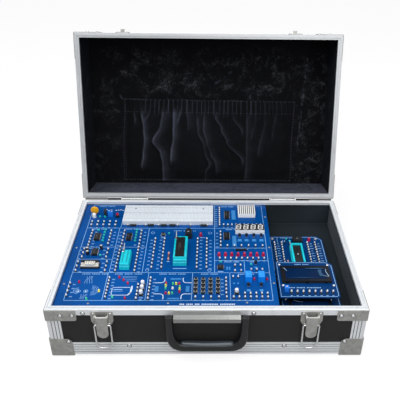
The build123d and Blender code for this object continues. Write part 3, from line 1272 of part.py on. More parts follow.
built = [
    base_panels.part, base_frame.part, base_corner_fittings.part, base_rivets.part, rubber_feet.part,
    base_lining.part, base_hinge_leaves, latch_base_plates, handle_bracket.part, main_board.part,
    breadboard.part, core_zif_socket, small_zif_socket, logic_chips.part, indicator_leds.part,
    digit_display, dot_matrix_display, relays.part, discrete_parts.part, board_connectors.part,
    jumper_posts, switch_bodies.part, lid_panels, lid_frame, lid_corner_fittings, lid_lining,
    lid_pocket, lid_catches, lid_hinge_leaves, carry_handle.part, core_zif_lever, small_zif_lever,
    spare_core_board.part, lcd_board_upper.part, lcd_board_lower.part,
]
built += plungers.values()
for side, x in (("left", -LATCH_X), ("right", LATCH_X)):
    for name, piece in (("latch_lever", latch_lever.part), ("latch_bail", latch_bail.part)):
        fitted = piece.translate((x, 0, 0))
        fitted.label = f"{name}_{side}"
        built.append(fitted)

boxes = [part.bounding_box() for part in built]
middle_y = (min(box.min.Y for box in boxes) + max(box.max.Y for box in boxes)) / 2
print("middle of everything, y =", middle_y)

os.makedirs("parts", exist_ok=True)
for part in built:
    placed = part.translate((0, -middle_y, 0))
    placed.label = part.label
    export_step(placed, f"parts/{placed.label}.step")
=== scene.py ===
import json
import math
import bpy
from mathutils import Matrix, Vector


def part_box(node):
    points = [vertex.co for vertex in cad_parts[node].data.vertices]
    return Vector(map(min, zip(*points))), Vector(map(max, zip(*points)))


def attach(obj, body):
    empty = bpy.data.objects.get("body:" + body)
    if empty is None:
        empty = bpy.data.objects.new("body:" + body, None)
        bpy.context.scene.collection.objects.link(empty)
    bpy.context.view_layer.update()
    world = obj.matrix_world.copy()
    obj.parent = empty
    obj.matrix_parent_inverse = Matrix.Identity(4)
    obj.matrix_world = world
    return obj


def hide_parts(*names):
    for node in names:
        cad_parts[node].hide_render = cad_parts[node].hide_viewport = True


bl_info = {
    "name": "Digital logic trainer",
    "version": (1, 0, 0),
    "blender": (4, 5, 0),
    "location": "View3D > Sidebar > Trainer",
    "description": "Dresses the packed trainer: board, parts, case, lining, pocket and stage",
    "category": "Object",
}

import bmesh
import bpy
from bpy.props import FloatProperty, FloatVectorProperty, IntProperty, PointerProperty
from mathutils import Matrix, Vector, noise

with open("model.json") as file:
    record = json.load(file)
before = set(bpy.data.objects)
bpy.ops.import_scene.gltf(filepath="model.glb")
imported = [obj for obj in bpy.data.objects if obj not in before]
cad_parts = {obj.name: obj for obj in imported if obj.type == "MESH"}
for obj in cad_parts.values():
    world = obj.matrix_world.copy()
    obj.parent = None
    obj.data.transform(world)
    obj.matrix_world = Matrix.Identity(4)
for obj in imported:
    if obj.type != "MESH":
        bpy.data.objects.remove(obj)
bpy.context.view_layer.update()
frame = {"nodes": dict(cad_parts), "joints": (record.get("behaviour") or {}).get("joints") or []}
NODES = frame["nodes"]
JOINTS = {joint["name"]: joint for joint in frame["joints"]}
MM = 0.001

# ---------------------------------------------------------------- places, in millimetres

# Places are given about the middle of the case, as its maker would measure them, and CASE_Y moves them to
# the frame's origin.

CASE_Y = sum(corner.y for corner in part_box("base_panels")) / 2 / MM


def top_of(name):
    """Height of a node's top."""
    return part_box(name)[1].z / MM


def box(name):
    """Left, right, front, back, low and high of a node's box."""
    low, high = (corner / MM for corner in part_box(name))
    return low.x, high.x, low.y - CASE_Y, high.y - CASE_Y, low.z, high.z


BOARD_TOP = top_of("main_board")
LID_OPEN = 106.5
HINGE = [value / MM for value in JOINTS["lid_hinge"]["pos_m"]]
HINGE[1] -= CASE_Y
PARTING = HINGE[2]
HALF_WIDTH, HALF_DEPTH = 240.0, 151.5  # of the case, without its fittings
FRONT = -HALF_DEPTH
UNDERSIDE, LID_TOP = 3.0, 192.5  # outer faces of the bottom and of the shut lid
LATCHES = (-156.0, 156.0)
HINGES = (-142.5, 142.5)
PITCH = 2.54  # of contacts and holes

# Turns that face a form to each side of the case
TO_FRONT, TO_BACK = (math.pi / 2, 0, 0), (-math.pi / 2, 0, 0)
TO_RIGHT, TO_LEFT = (0, math.pi / 2, 0), (0, -math.pi / 2, 0)

# Rows of contact posts on the main board: first, last and how many
POST_LINES = (
    ((-92, 29.5), (-92, -48.5), 9), ((-76, 29.5), (-76, -48.5), 9),
    ((-18.5, 29.5), (-18.5, -48.5), 9), ((-2.5, 29.5), (-2.5, -48.5), 9),
    ((-205, 53), (-205, 10.5), 6), ((-172, 53), (-172, 15), 5),
    ((-148.5, 53), (-148.5, 14), 5), ((-118.5, 53), (-118.5, 14), 5),
    ((-209.5, 0), (-209.5, -22), 3), ((-169.5, 0), (-169.5, -22), 3),
    ((-213, -35), (-213, -57), 3), ((-166, -35), (-166, -57), 3),
    ((-149.5, 5.5), (-149.5, -57), 8), ((-118.5, 5.5), (-118.5, -57), 8),
    ((-211, 82), (-168, 82), 5), ((-211, 71.5), (-168, 71.5), 5),
    ((-145.5, 72), (-145.5, 72), 1), ((-113.6, 72), (-90.4, 72), 2),
    ((-55.5, 72), (-32.7, 72), 2), ((-1.8, 72), (-1.8, 72), 1),
    ((20, 128.5), (20, 73), 9), ((27.5, 73), (94.1, 73), 10),
    ((21.5, 51), (21.5, 10.5), 5), ((33, 10.5), (93.5, 10.5), 6),
    ((19.5, -24.5), (93.5, -24.5), 9),
    ((44.5, -43), (53.5, -43), 2), ((44, -57), (54, -57), 2), ((70.5, -54), (88.5, -54), 3),
    ((-215, -88), (-215, -116), 4), ((-155.5, -75.5), (-155.5, -120.5), 7),
    ((-108.5, -91.5), (-108.5, -123), 5), ((-90.5, -75.5), (-90.5, -123), 7),
    ((-18.5, -120), (29.5, -120), 5), ((29, -75.5), (29, -111), 5),
    ((40.5, -72), (48.5, -72), 2), ((40, -120), (92.5, -120), 7), ((57.5, -111.5), (92.5, -111.5), 5),
)
CHIPS = ((-199.0, -189.0, 26.5, 45.5), (-143.0, -134.0, 26.5, 45.5), (-195.5, -185.5, -16.0, 0.0),
         (29.5, 38.0, 93.5, 117.5), (27.5, 37.0, 30.0, 49.0), (16.0, 25.5, -52.5, -43.0))
LARGE_LAMPS = [(18.5 + 10.64 * number, -14.0) for number in range(8)] + [(-13.5, 42.5)]
SMALL_LAMPS = {
    "red": ((-202, -83.5), (-140.5, -72), (-133, -78.5), (-125.5, -86.5), (-125.5, -121), (-65.5, -86),
            (-44.5, -87.5), (-43.5, -106), (-64.5, -109.5), (74, -76), (94.5, -76)),
    "yellow": ((-167.5, -104.5), (-65.5, -91.5), (-49.5, -87.5), (-43.5, -100), (-59.5, -109.5)),
    "green": ((-183.5, -122.5), (-145, -118.5), (-65.5, -98), (-54.5, -87.5), (-43.5, -94.5), (-54.5, -109.5)),
    "white": ((-54.5, -98),),
}
TRANSISTORS = ((55, 38), (67, 38), (80, 38), (93, 38), (78.5, -38.5), (64, -93.5), (84, -93.5))
CAPACITORS = ([(-183, y) for y in (56.5, 48.5, 40.5, 32.5, 24.5)]
              + [(-127, y) for y in (56.5, 48.5, 40.5, 32.5, 24.5)]
              + [(-195, 55.5), (-180, -17), (-199.5, 98.5), (-190.5, 98), (21, -34), (71, -40.5), (-69.5, 46)])
CANS = ((-204, -2.5), (-202, -12), (-181.5, 3.5))
BOARD_SCREWS = ((105, 103), (105, 9), (105, -84.5), (-224.5, 7), (-225, -86.5), (-179.5, -131.5),
                (-59.5, -131), (60, -129.5), (-119.5, 136.5))
# Upright rows whose pin names stand at their right, by their places across the board
LABELS_AT_RIGHT = (-18.5, -2.5, -118.5, -90.5, -108.5, -155.5, -172, -205, -215, -213)
KEYS = [(-18.7 + 11.6 * column, -107.5 + 9.8 * row) for row in (3, 2, 1, 0) for column in range(4)]
CAPPED = {"relay_button": (45.0, -109.0), "level_button_1": (-101.5, -90.5),
          "level_button_2": (-101.5, -101.0), "level_button_3": (-102.0, -112.5)}
RESET = (-79.5, 44.0)


def spaced(line):
    """Evenly spaced points along a line of first, last and count."""
    (x0, y0), (x1, y1), count = line
    steps = max(count - 1, 1)
    return [(x0 + (x1 - x0) * i / steps, y0 + (y1 - y0) * i / steps) for i in range(count)]


# ---------------------------------------------------------------- settings


def colour(name, description, default):
    return FloatVectorProperty(
        name=name, description=description, subtype="COLOR", size=3, min=0, max=1, default=default
    )


def length(name, description, default):
    return FloatProperty(
        name=name, description=description, subtype="DISTANCE", unit="LENGTH", min=0, default=default * MM
    )


class TrainerColours(bpy.types.PropertyGroup):
    """Colours of the finishes"""

    laminate: colour("Laminate", "Black panels of the case", (0.018, 0.018, 0.0185))
    aluminium: colour("Aluminium", "Rims, edging and corner posts", (0.80, 0.82, 0.84))
    zinc: colour("Zinc", "Corner caps, brackets, latches and hinges", (0.42, 0.42, 0.395))
    lining: colour("Lining", "Walls and floor of the lower half", (0.017, 0.025, 0.032))
    velvet: colour("Velvet", "Lining of the lid", (0.0042, 0.0047, 0.0054))
    board: colour("Board", "Solder mask of the circuit boards", (0.0, 0.058, 0.245))
    print: colour("Print", "Lines printed on the boards", (0.27, 0.50, 0.80))
    socket: colour("Socket", "Zero-insertion-force sockets", (0.008, 0.58, 0.68))
    moulding: colour("Moulding", "Chips, switches and black plastic", (0.012, 0.014, 0.016))
    breadboard: colour("Breadboard", "Solderless breadboard", (0.70, 0.75, 0.80))
    relay: colour("Relay", "Relay cases", (0.002, 0.25, 0.90))
    handle: colour("Handle", "Carrying handle", (0.006, 0.0065, 0.0075))
    red: colour("Red lamp", "Red lamps", (0.46, 0.006, 0.045))
    yellow: colour("Yellow lamp", "Yellow lamps", (0.80, 0.75, 0.10))
    green: colour("Green lamp", "Green lamps", (0.05, 0.55, 0.28))
    tin: colour("Tin", "Posts, leads and connector shells", (0.80, 0.79, 0.76))


class TrainerPrint(bpy.types.PropertyGroup):
    """Sizes of the printed lines and the fasteners"""

    line: length("Printed line", "Width of the lines round the modules", 0.7)
    rivet: length("Rivet", "Radius of a rivet's head", 2.9)


class TrainerCloth(bpy.types.PropertyGroup):
    """The lid's cloths"""

    velvet: length("Velvet", "Thickness of the lining's velvet", 0.0012)
    pocket: length("Pocket cloth", "Thickness of the pocket's cloth", 0.001)
    crush: length("Crush", "Relief of the pressed pile", 0.0009)


class TrainerStage(bpy.types.PropertyGroup):
    """Floor, lamps and camera"""

    floor: colour("Floor", "Floor and backdrop", (0.92, 0.92, 0.92))
    key: FloatProperty(name="Key", description="Power of the overhead lamp", unit="POWER", min=0, default=17)
    fill: FloatProperty(name="Fill", description="Power of the front lamp", unit="POWER", min=0, default=8)
    sky: FloatProperty(name="Sky", description="Strength of the world's light", min=0, default=0.42)
    lift: FloatProperty(name="Lift", description="How far the floor is lifted to white", min=0, max=1, default=0.76)
    bounce: FloatProperty(name="Bounce", description="Share of light that the floor sends back up", min=0, max=1,
                          default=0.4)
    focal: FloatProperty(name="Focal length", description="Camera lens", subtype="DISTANCE_CAMERA", default=51.1485)


# ---------------------------------------------------------------- nodes


def link(tree, out, into):
    tree.links.new(out, into)


def feed(tree, socket, value):
    """Links a socket to the input, or sets a constant on it."""
    if isinstance(value, bpy.types.NodeSocket):
        link(tree, value, socket)
    elif socket.type == "RGBA":
        socket.default_value = (*value[:3], 1)
    else:
        socket.default_value = value


def add_node(tree, kind, values=(), **settings):
    """A node with its settings, and its inputs fed by name or number."""
    node = tree.nodes.new(kind)
    for label, value in settings.items():
        setattr(node, label, value)
    for label, value in values:
        feed(tree, node.inputs[label], value)
    return node


def math_node(tree, operation, a, b, clamp=False):
    return add_node(tree, "ShaderNodeMath", [(0, a), (1, b)], operation=operation, use_clamp=clamp).outputs[0]


def weighed(tree, a, share_a, b, share_b):
    """The sum of two values, each times its share."""
    return math_node(tree, "ADD", math_node(tree, "MULTIPLY", a, share_a), math_node(tree, "MULTIPLY", b, share_b))


def mix_colour(tree, factor, a, b):
    return add_node(tree, "ShaderNodeMix", [("Factor", factor), (6, a), (7, b)], data_type="RGBA").outputs[2]


def noise_node(tree, coordinates, scale, detail, roughness, distortion=0.0, stretch=None):
    if stretch:
        coordinates = add_node(tree, "ShaderNodeMapping", [("Vector", coordinates), ("Scale", stretch)]).outputs[0]
    return add_node(tree, "ShaderNodeTexNoise", [
        ("Vector", coordinates), ("Scale", scale), ("Detail", detail), ("Roughness", roughness),
        ("Distortion", distortion)]).outputs["Fac"]


def remap(tree, value, low, high, to_low=0.0, to_high=1.0):
    return add_node(tree, "ShaderNodeMapRange", [
        ("Value", value), ("From Min", low), ("From Max", high), ("To Min", to_low), ("To Max", to_high)]).outputs[0]


# ---------------------------------------------------------------- shader groups


def new_group(name, inputs, outputs):
    """A shader group that takes coordinates and numbers and gives numbers, with its two ends' sockets."""
    group = bpy.data.node_groups.new(name, "ShaderNodeTree")
    group.interface.new_socket("Coordinates", in_out="INPUT", socket_type="NodeSocketVector")
    for label, default in inputs.items():
        group.interface.new_socket(label, in_out="INPUT", socket_type="NodeSocketFloat").default_value = default
    for label in outputs:
        group.interface.new_socket(label, in_out="OUTPUT", socket_type="NodeSocketFloat")
    return group, group.nodes.new("NodeGroupInput").outputs, group.nodes.new("NodeGroupOutput").inputs


def make_shader_groups():
    """Effects that several finishes share."""
    # Grain: fine parallel lines, as brushing or drawing leaves on metal
    group, into, out = new_group("Grain", {"Scale": 900.0, "Strength": 0.5}, ("Lines", "Shade"))
    lines = noise_node(group, into["Coordinates"], into["Scale"], 4, 0.6, stretch=(0.02, 1, 1))
    broad = noise_node(group, into["Coordinates"], 14.0, 2, 0.5, stretch=(0.3, 1, 1))
    link(group, math_node(group, "MULTIPLY", lines, into["Strength"]), out["Lines"])
    link(group, weighed(group, broad, 0.6, lines, 0.4), out["Shade"])
    # Mottle: cloudy patches with small bright and dark flecks, as on zinc plate
    group, into, out = new_group("Mottle", {"Scale": 90.0, "Contrast": 0.5}, ("Patches",))
    clouds = noise_node(group, into["Coordinates"], into["Scale"], 5, 0.65, 0.6)
    flecks = noise_node(group, into["Coordinates"], math_node(group, "MULTIPLY", into["Scale"], 7.0), 2, 0.5)
    both = weighed(group, clouds, 0.7, flecks, 0.3)
    centred = math_node(group, "MULTIPLY", math_node(group, "SUBTRACT", both, 0.5), into["Contrast"])
    link(group, math_node(group, "ADD", math_node(group, "MULTIPLY", centred, 4.0), 0.5, True), out["Patches"])
    # Speckle: fine moulded or laminated texture
    group, into, out = new_group("Speckle", {"Scale": 1400.0}, ("Height", "Shade"))
    link(group, noise_node(group, into["Coordinates"], into["Scale"], 2, 0.6), out["Height"])
    link(group, noise_node(group, into["Coordinates"], 9.0, 3, 0.55), out["Shade"])
    # Pile: crushed velvet, with strokes where the pile lies over
    group, into, out = new_group("Pile", {"Scale": 34.0}, ("Strokes", "Height"))
    warp = noise_node(group, into["Coordinates"], 38.0, 4, 0.65, 0.8)
    strokes = noise_node(group, into["Coordinates"], into["Scale"], 4, 0.7, 2.6)
    mixed = math_node(group, "MULTIPLY", strokes, remap(group, warp, 0.35, 0.65, 0.72, 1.3))
    link(group, remap(group, mixed, 0.52, 0.80), out["Strokes"])
    fibres = noise_node(group, into["Coordinates"], 2600.0, 1, 0.5)
    link(group, math_node(group, "ADD", math_node(group, "MULTIPLY", fibres, 0.35), strokes), out["Height"])
    # Wear: dust and rubbing, stronger where a noise says so
    group, into, out = new_group("Wear", {"Amount": 0.3}, ("Mask",))
    marks = noise_node(group, into["Coordinates"], 60.0, 6, 0.7, 0.3)
    link(group, math_node(group, "MULTIPLY", remap(group, marks, 0.55, 0.75), into["Amount"]), out["Mask"])


def use_group(tree, name, coordinates, **values):
    """The outputs of a shader group laid on the coordinates."""
    return add_node(tree, "ShaderNodeGroup", [("Coordinates", coordinates), *values.items()],
                    node_tree=bpy.data.node_groups[name]).outputs


# ---------------------------------------------------------------- materials


def new_material(name, base):
    """A material with its Principled shader and Object coordinates."""
    material = bpy.data.materials.new(name)
    material.use_nodes = True
    material.diffuse_color = (*base, 1)
    tree = material.node_tree
    return material, tree, tree.nodes["Principled BSDF"], add_node(tree, "ShaderNodeTexCoord").outputs["Object"]


def dress(tree, shader, values, relief=None):
    """Feeds the shader's inputs, and its normal from a relief of height, strength and distance."""
    for label, value in values.items():
        feed(tree, shader.inputs[label], value)
    if relief:
        bump = add_node(tree, "ShaderNodeBump", zip(("Height", "Strength", "Distance"), relief))
        link(tree, bump.outputs[0], shader.inputs["Normal"])


def attribute_node(tree, name):
    return add_node(tree, "ShaderNodeAttribute", attribute_name=name).outputs["Fac"]


def shaded(base, factor):
    return tuple(min(1.0, value * factor) for value in base)


def tones(tree, factor, base, dark, light):
    """Shades of the base colour, from dark to light."""
    return mix_colour(tree, factor, shaded(base, dark), shaded(base, light))


def brushed_metal(name, base, dark, light):
    """Extruded metal, its lines along one axis."""
    material, tree, shader, coordinates = new_material(name, base)
    grain = use_group(tree, "Grain", coordinates, Scale=1100.0, Strength=1.0)
    wear = use_group(tree, "Wear", coordinates, Amount=0.35)
    tone = tones(tree, remap(tree, grain["Shade"], 0.3, 0.7), base, dark, light)
    dress(tree, shader, {
        "Base Color": mix_colour(tree, wear["Mask"], tone, shaded(base, 0.62)),
        "Roughness": remap(tree, grain["Shade"], 0.3, 0.7, 0.27, 0.44), "Metallic": 0.25,
    }, (grain["Lines"], 0.05, 0.0002))
    return material


def plated_metal(name, base, rough, contrast, metallic=0.6, scale=90.0, spread=0.35):
    """Plated steel with a cloudy, flecked surface."""
    material, tree, shader, coordinates = new_material(name, base)
    patches = use_group(tree, "Mottle", coordinates, Scale=scale, Contrast=contrast)["Patches"]
    dress(tree, shader, {
        "Base Color": tones(tree, patches, base, 1 - spread, 1 + spread),
        "Roughness": remap(tree, patches, 0, 1, rough + 0.08, rough - 0.06), "Metallic": metallic,
    }, (patches, 0.08, 0.0002))
    return material


def moulded_plastic(name, base, rough, scale, depth, spread=0.14, coat=0.0, gloss=0.45):
    """Moulded plastic with a fine grain and a slight change of tone."""
    material, tree, shader, coordinates = new_material(name, base)
    speckle = use_group(tree, "Speckle", coordinates, Scale=scale)
    dress(tree, shader, {
        "Base Color": tones(tree, remap(tree, speckle["Shade"], 0.3, 0.7), base, 1 - spread, 1 + spread),
        "Roughness": remap(tree, speckle["Shade"], 0.3, 0.7, rough - 0.05, rough + 0.07),
        "Coat Weight": coat, "Specular IOR Level": gloss,
    }, (speckle["Height"], depth, 0.0001))
    return material


def lamp_plastic(name, base):
    """Tinted lamp lens of clear plastic, with a faint painted glow of its own colour."""
    material, tree, shader, coordinates = new_material(name, base)
    speckle = use_group(tree, "Speckle", coordinates, Scale=500.0)
    dress(tree, shader, {
        "Base Color": tones(tree, remap(tree, speckle["Shade"], 0.35, 0.65), base, 0.8, 1.25),
        # Painted glow: the lens gives off a little light of its own colour
        "Roughness": 0.16, "Coat Weight": 0.6, "Emission Color": base, "Emission Strength": 0.07,
    })
    return material


def board_laminate(name, base):
    """Solder mask over glass cloth: saturated, glossy, with faint tracks under it."""
    material, tree, shader, coordinates = new_material(name, base)
    speckle = use_group(tree, "Speckle", coordinates, Scale=700.0)
    wear = use_group(tree, "Wear", coordinates, Amount=0.25)
    tone = tones(tree, remap(tree, speckle["Shade"], 0.3, 0.7), base, 0.82, 1.3)
    black, white = (0, 0, 0), (1, 1, 1)
    brick = add_node(tree, "ShaderNodeTexBrick", [
        ("Vector", coordinates), ("Scale", 60.0), ("Mortar Size", 0.012), ("Color1", black), ("Color2", black),
        ("Mortar", white)])
    tracks = mix_colour(tree, math_node(tree, "MULTIPLY", brick.outputs["Color"], 0.16), tone, shaded(base, 2.2))
    dress(tree, shader, {
        "Base Color": mix_colour(tree, wear["Mask"], tracks, shaded(base, 1.8)),
        "Roughness": remap(tree, speckle["Shade"], 0.3, 0.7, 0.26, 0.4),
        "Coat Weight": 0.02, "Specular IOR Level": 0.1,
    }, (speckle["Height"], 0.04, 0.0001))
    return material


def pile_fabric(name, base, crush, amount, scale, nap=None):
    """Velvet: near black where it is seen straight on, blue-grey where the pile is crushed, and a painted sheen where
    the pile turns up to the light.

    The mesh has an attribute of painted sheen, 1 where the pile turns up to the light, and may have one that says
    where the pile is crushed.
    """
    material, tree, shader, coordinates = new_material(name, base)
    pile = use_group(tree, "Pile", coordinates, Scale=scale)
    strokes = math_node(tree, "MULTIPLY", pile["Strokes"], amount)
    if nap:
        strokes = math_node(tree, "MULTIPLY", strokes, attribute_node(tree, nap))
    grain = remap(tree, pile["Height"], 0.45, 0.9, 0.6, 1.3)
    # Painted sheen: the colour is mixed towards a blue-grey highlight where the pile turns up to the light
    sheen_amount = math_node(tree, "MULTIPLY", attribute_node(tree, "painted_sheen"), grain)
    dress(tree, shader, {
        "Base Color": mix_colour(tree, sheen_amount, mix_colour(tree, strokes, base, crush), (0.062, 0.068, 0.094)),
        "Roughness": 0.92, "Specular IOR Level": 0.08,
    }, (pile["Height"], 0.5, 0.0012))
    return material


def make_materials():
    """Every finish, by the maker's name for it."""
    colours = bpy.context.scene.trainer_colours
    # Plastics, inks and the lining's painted light and shade: name, colour, roughness, scale and depth of the grain,
    # spread of tone, coat, gloss
    plastics = {
        "laminate": ("black_laminate", colours.laminate, 0.62, 900, 0.25, 0.2, 0.0, 0.3),
        "groove": ("groove_shade", (0.10, 0.105, 0.11), 0.6, 900, 0.02, 0.3),
        "rubber": ("foot_rubber", (0.012, 0.012, 0.012), 0.75, 800, 0.3),
        "lining": ("case_lining", colours.lining, 0.78, 420, 0.5, 0.3, 0.0, 0.25),
        # Lit and shaded copies of the lining: painted light on the compartment's outer wall, painted shade on its
        # floor
        "lit_lining": ("side_lining", (0.085, 0.098, 0.108), 0.7, 420, 0.5, 0.25, 0.0, 0.25),
        "floor_lining": ("floor_lining", (0.010, 0.015, 0.019), 0.8, 420, 0.5, 0.3, 0.0, 0.2),
        "thread": ("sewing_thread", (0.075, 0.08, 0.11), 0.7, 900, 0.1),
        # Painted highlights and painted reflections on the display glass, where the protective film's edges catch the
        # light
        "film": ("lifted_film", (0.24, 0.38, 0.56), 0.3, 900, 0.02, 0.3, 0.2, 0.3),
        "dim_film": ("dim_film", (0.03, 0.085, 0.17), 0.3, 900, 0.02, 0.3, 0.0, 0.2),
        "bezel": ("display_bezel", (0.005, 0.006, 0.009), 0.3, 900, 0.05, 0.3, 0.1, 0.3),
        "relay_mark": ("relay_marking", (0.10, 0.42, 0.82), 0.4, 900, 0.02),
        "print": ("printed_ink", colours.print, 0.55, 1200, 0.02, 0.18),
        "bright_print": ("white_ink", (0.62, 0.74, 0.88), 0.55, 1200, 0.02, 0.08),
        "pale_print": ("block_ink", (0.05, 0.27, 0.62), 0.5, 1200, 0.02, 0.1),
        "socket": ("socket_plastic", colours.socket, 0.3, 1500, 0.05, 0.18, 0.2),
        "slot": ("socket_slot", (0.001, 0.09, 0.12), 0.6, 1000, 0.02),
        "moulding": ("black_moulding", colours.moulding, 0.38, 1600, 0.15, 0.3),
        "breadboard": ("breadboard_plastic", colours.breadboard, 0.45, 1000, 0.05, 0.06),
        "hole": ("contact_hole", (0.40, 0.43, 0.48), 0.8, 1000, 0.02),
        "white": ("white_plastic", (0.84, 0.86, 0.89), 0.35, 1000, 0.03, 0.05, 0.2),
        "relay": ("relay_case", colours.relay, 0.3, 1200, 0.04, 0.12, 0.3),
        "teal": ("capacitor_resin", (0.01, 0.50, 0.46), 0.3, 900, 0.03, 0.2, 0.3),
        "trimmer": ("trimmer_case", (0.015, 0.19, 0.78), 0.35, 900, 0.03, 0.15),
        "amber": ("disc_resin", (0.92, 0.44, 0.005), 0.42, 700, 0.1, 0.1, 0.1),
        "resistor": ("resistor_lacquer", (0.62, 0.32, 0.26), 0.35, 900, 0.03, 0.15, 0.2),
        "glass": ("display_glass", (0.0012, 0.014, 0.055), 0.2, 900, 0.01, 0.25, 0.0, 0.12),
        "face": ("display_face", (0.90, 0.91, 0.90), 0.4, 900, 0.02, 0.04),
        "segment": ("display_segment", (0.86, 0.84, 0.84), 0.3, 900, 0.02, 0.08),
        "stripe": ("matrix_gap", (0.055, 0.052, 0.05), 0.6, 900, 0.02, 0.2),
        "cream": ("shell_face", (0.80, 0.78, 0.70), 0.4, 900, 0.04, 0.08),
        "handle": ("handle_plastic", colours.handle, 0.36, 900, 0.1, 0.25, 0.25),
        # Grip pad: a lighter blue-grey that paints the highlight along the grip's top
        "pad": ("grip_pad", (0.045, 0.058, 0.072), 0.24, 900, 0.05, 0.3, 0.5),
    }
    # Metals: name, colour, roughness, contrast of the clouds, metallic, scale of the clouds, spread of tone
    metals = {
        "zinc": ("zinc_plate", colours.zinc, 0.42, 0.55),
        "chrome": ("bright_steel", (0.80, 0.81, 0.81), 0.2, 0.2, 0.8, 60, 0.1),
        "plate": ("bright_plate", (0.42, 0.425, 0.415), 0.24, 0.3, 0.8, 70, 0.14),
        "polished": ("polished_plate", (0.36, 0.365, 0.35), 0.2, 0.4, 0.9, 50, 0.2),
        "tin": ("tinned_contact", colours.tin, 0.26, 0.3, 0.55, 400, 0.15),
        # A dark shank and a bright tip on the same tinned post: painted shade and painted highlight
        "pin": ("shaded_pin_shank", (0.17, 0.16, 0.14), 0.3, 0.3, 0.6, 400, 0.15),
        "tip": ("highlit_pin_tip", (0.94, 0.94, 0.91), 0.22, 0.15, 0.25, 400, 0.04),
        "shell": ("connector_shell", (0.72, 0.70, 0.63), 0.34, 0.35, 0.45, 160, 0.2),
    }
    made = {key: moulded_plastic(*row) for key, row in plastics.items()}
    made |= {key: plated_metal(*row) for key, row in metals.items()}
    made |= {key: lamp_plastic(f"{key}_lens", getattr(colours, key)) for key in ("red", "yellow", "green")}
    return made | {
        "rim": brushed_metal("rim_aluminium", colours.aluminium, 0.96, 1.05),
        # Painted shade: a darker copy of the rim's aluminium for the lid's frame
        "lid_rim": brushed_metal("shaded_lid_aluminium", shaded(colours.aluminium, 0.7), 0.9, 1.06),
        "board": board_laminate("solder_mask", colours.board),
        # Painted shade: a darker copy of the solder mask for the loose boards down in the compartment
        "shaded_board": board_laminate("shaded_solder_mask", shaded(colours.board, 0.55)),
        "velvet": pile_fabric("lid_velvet", colours.velvet, (0.050, 0.054, 0.060), 1.0, 170.0, "nap"),
        "pocket": pile_fabric("pocket_cloth", colours.velvet, (0.010, 0.011, 0.015), 0.6, 140.0),
    }


FINISH = {}


# ---------------------------------------------------------------- mesh helpers


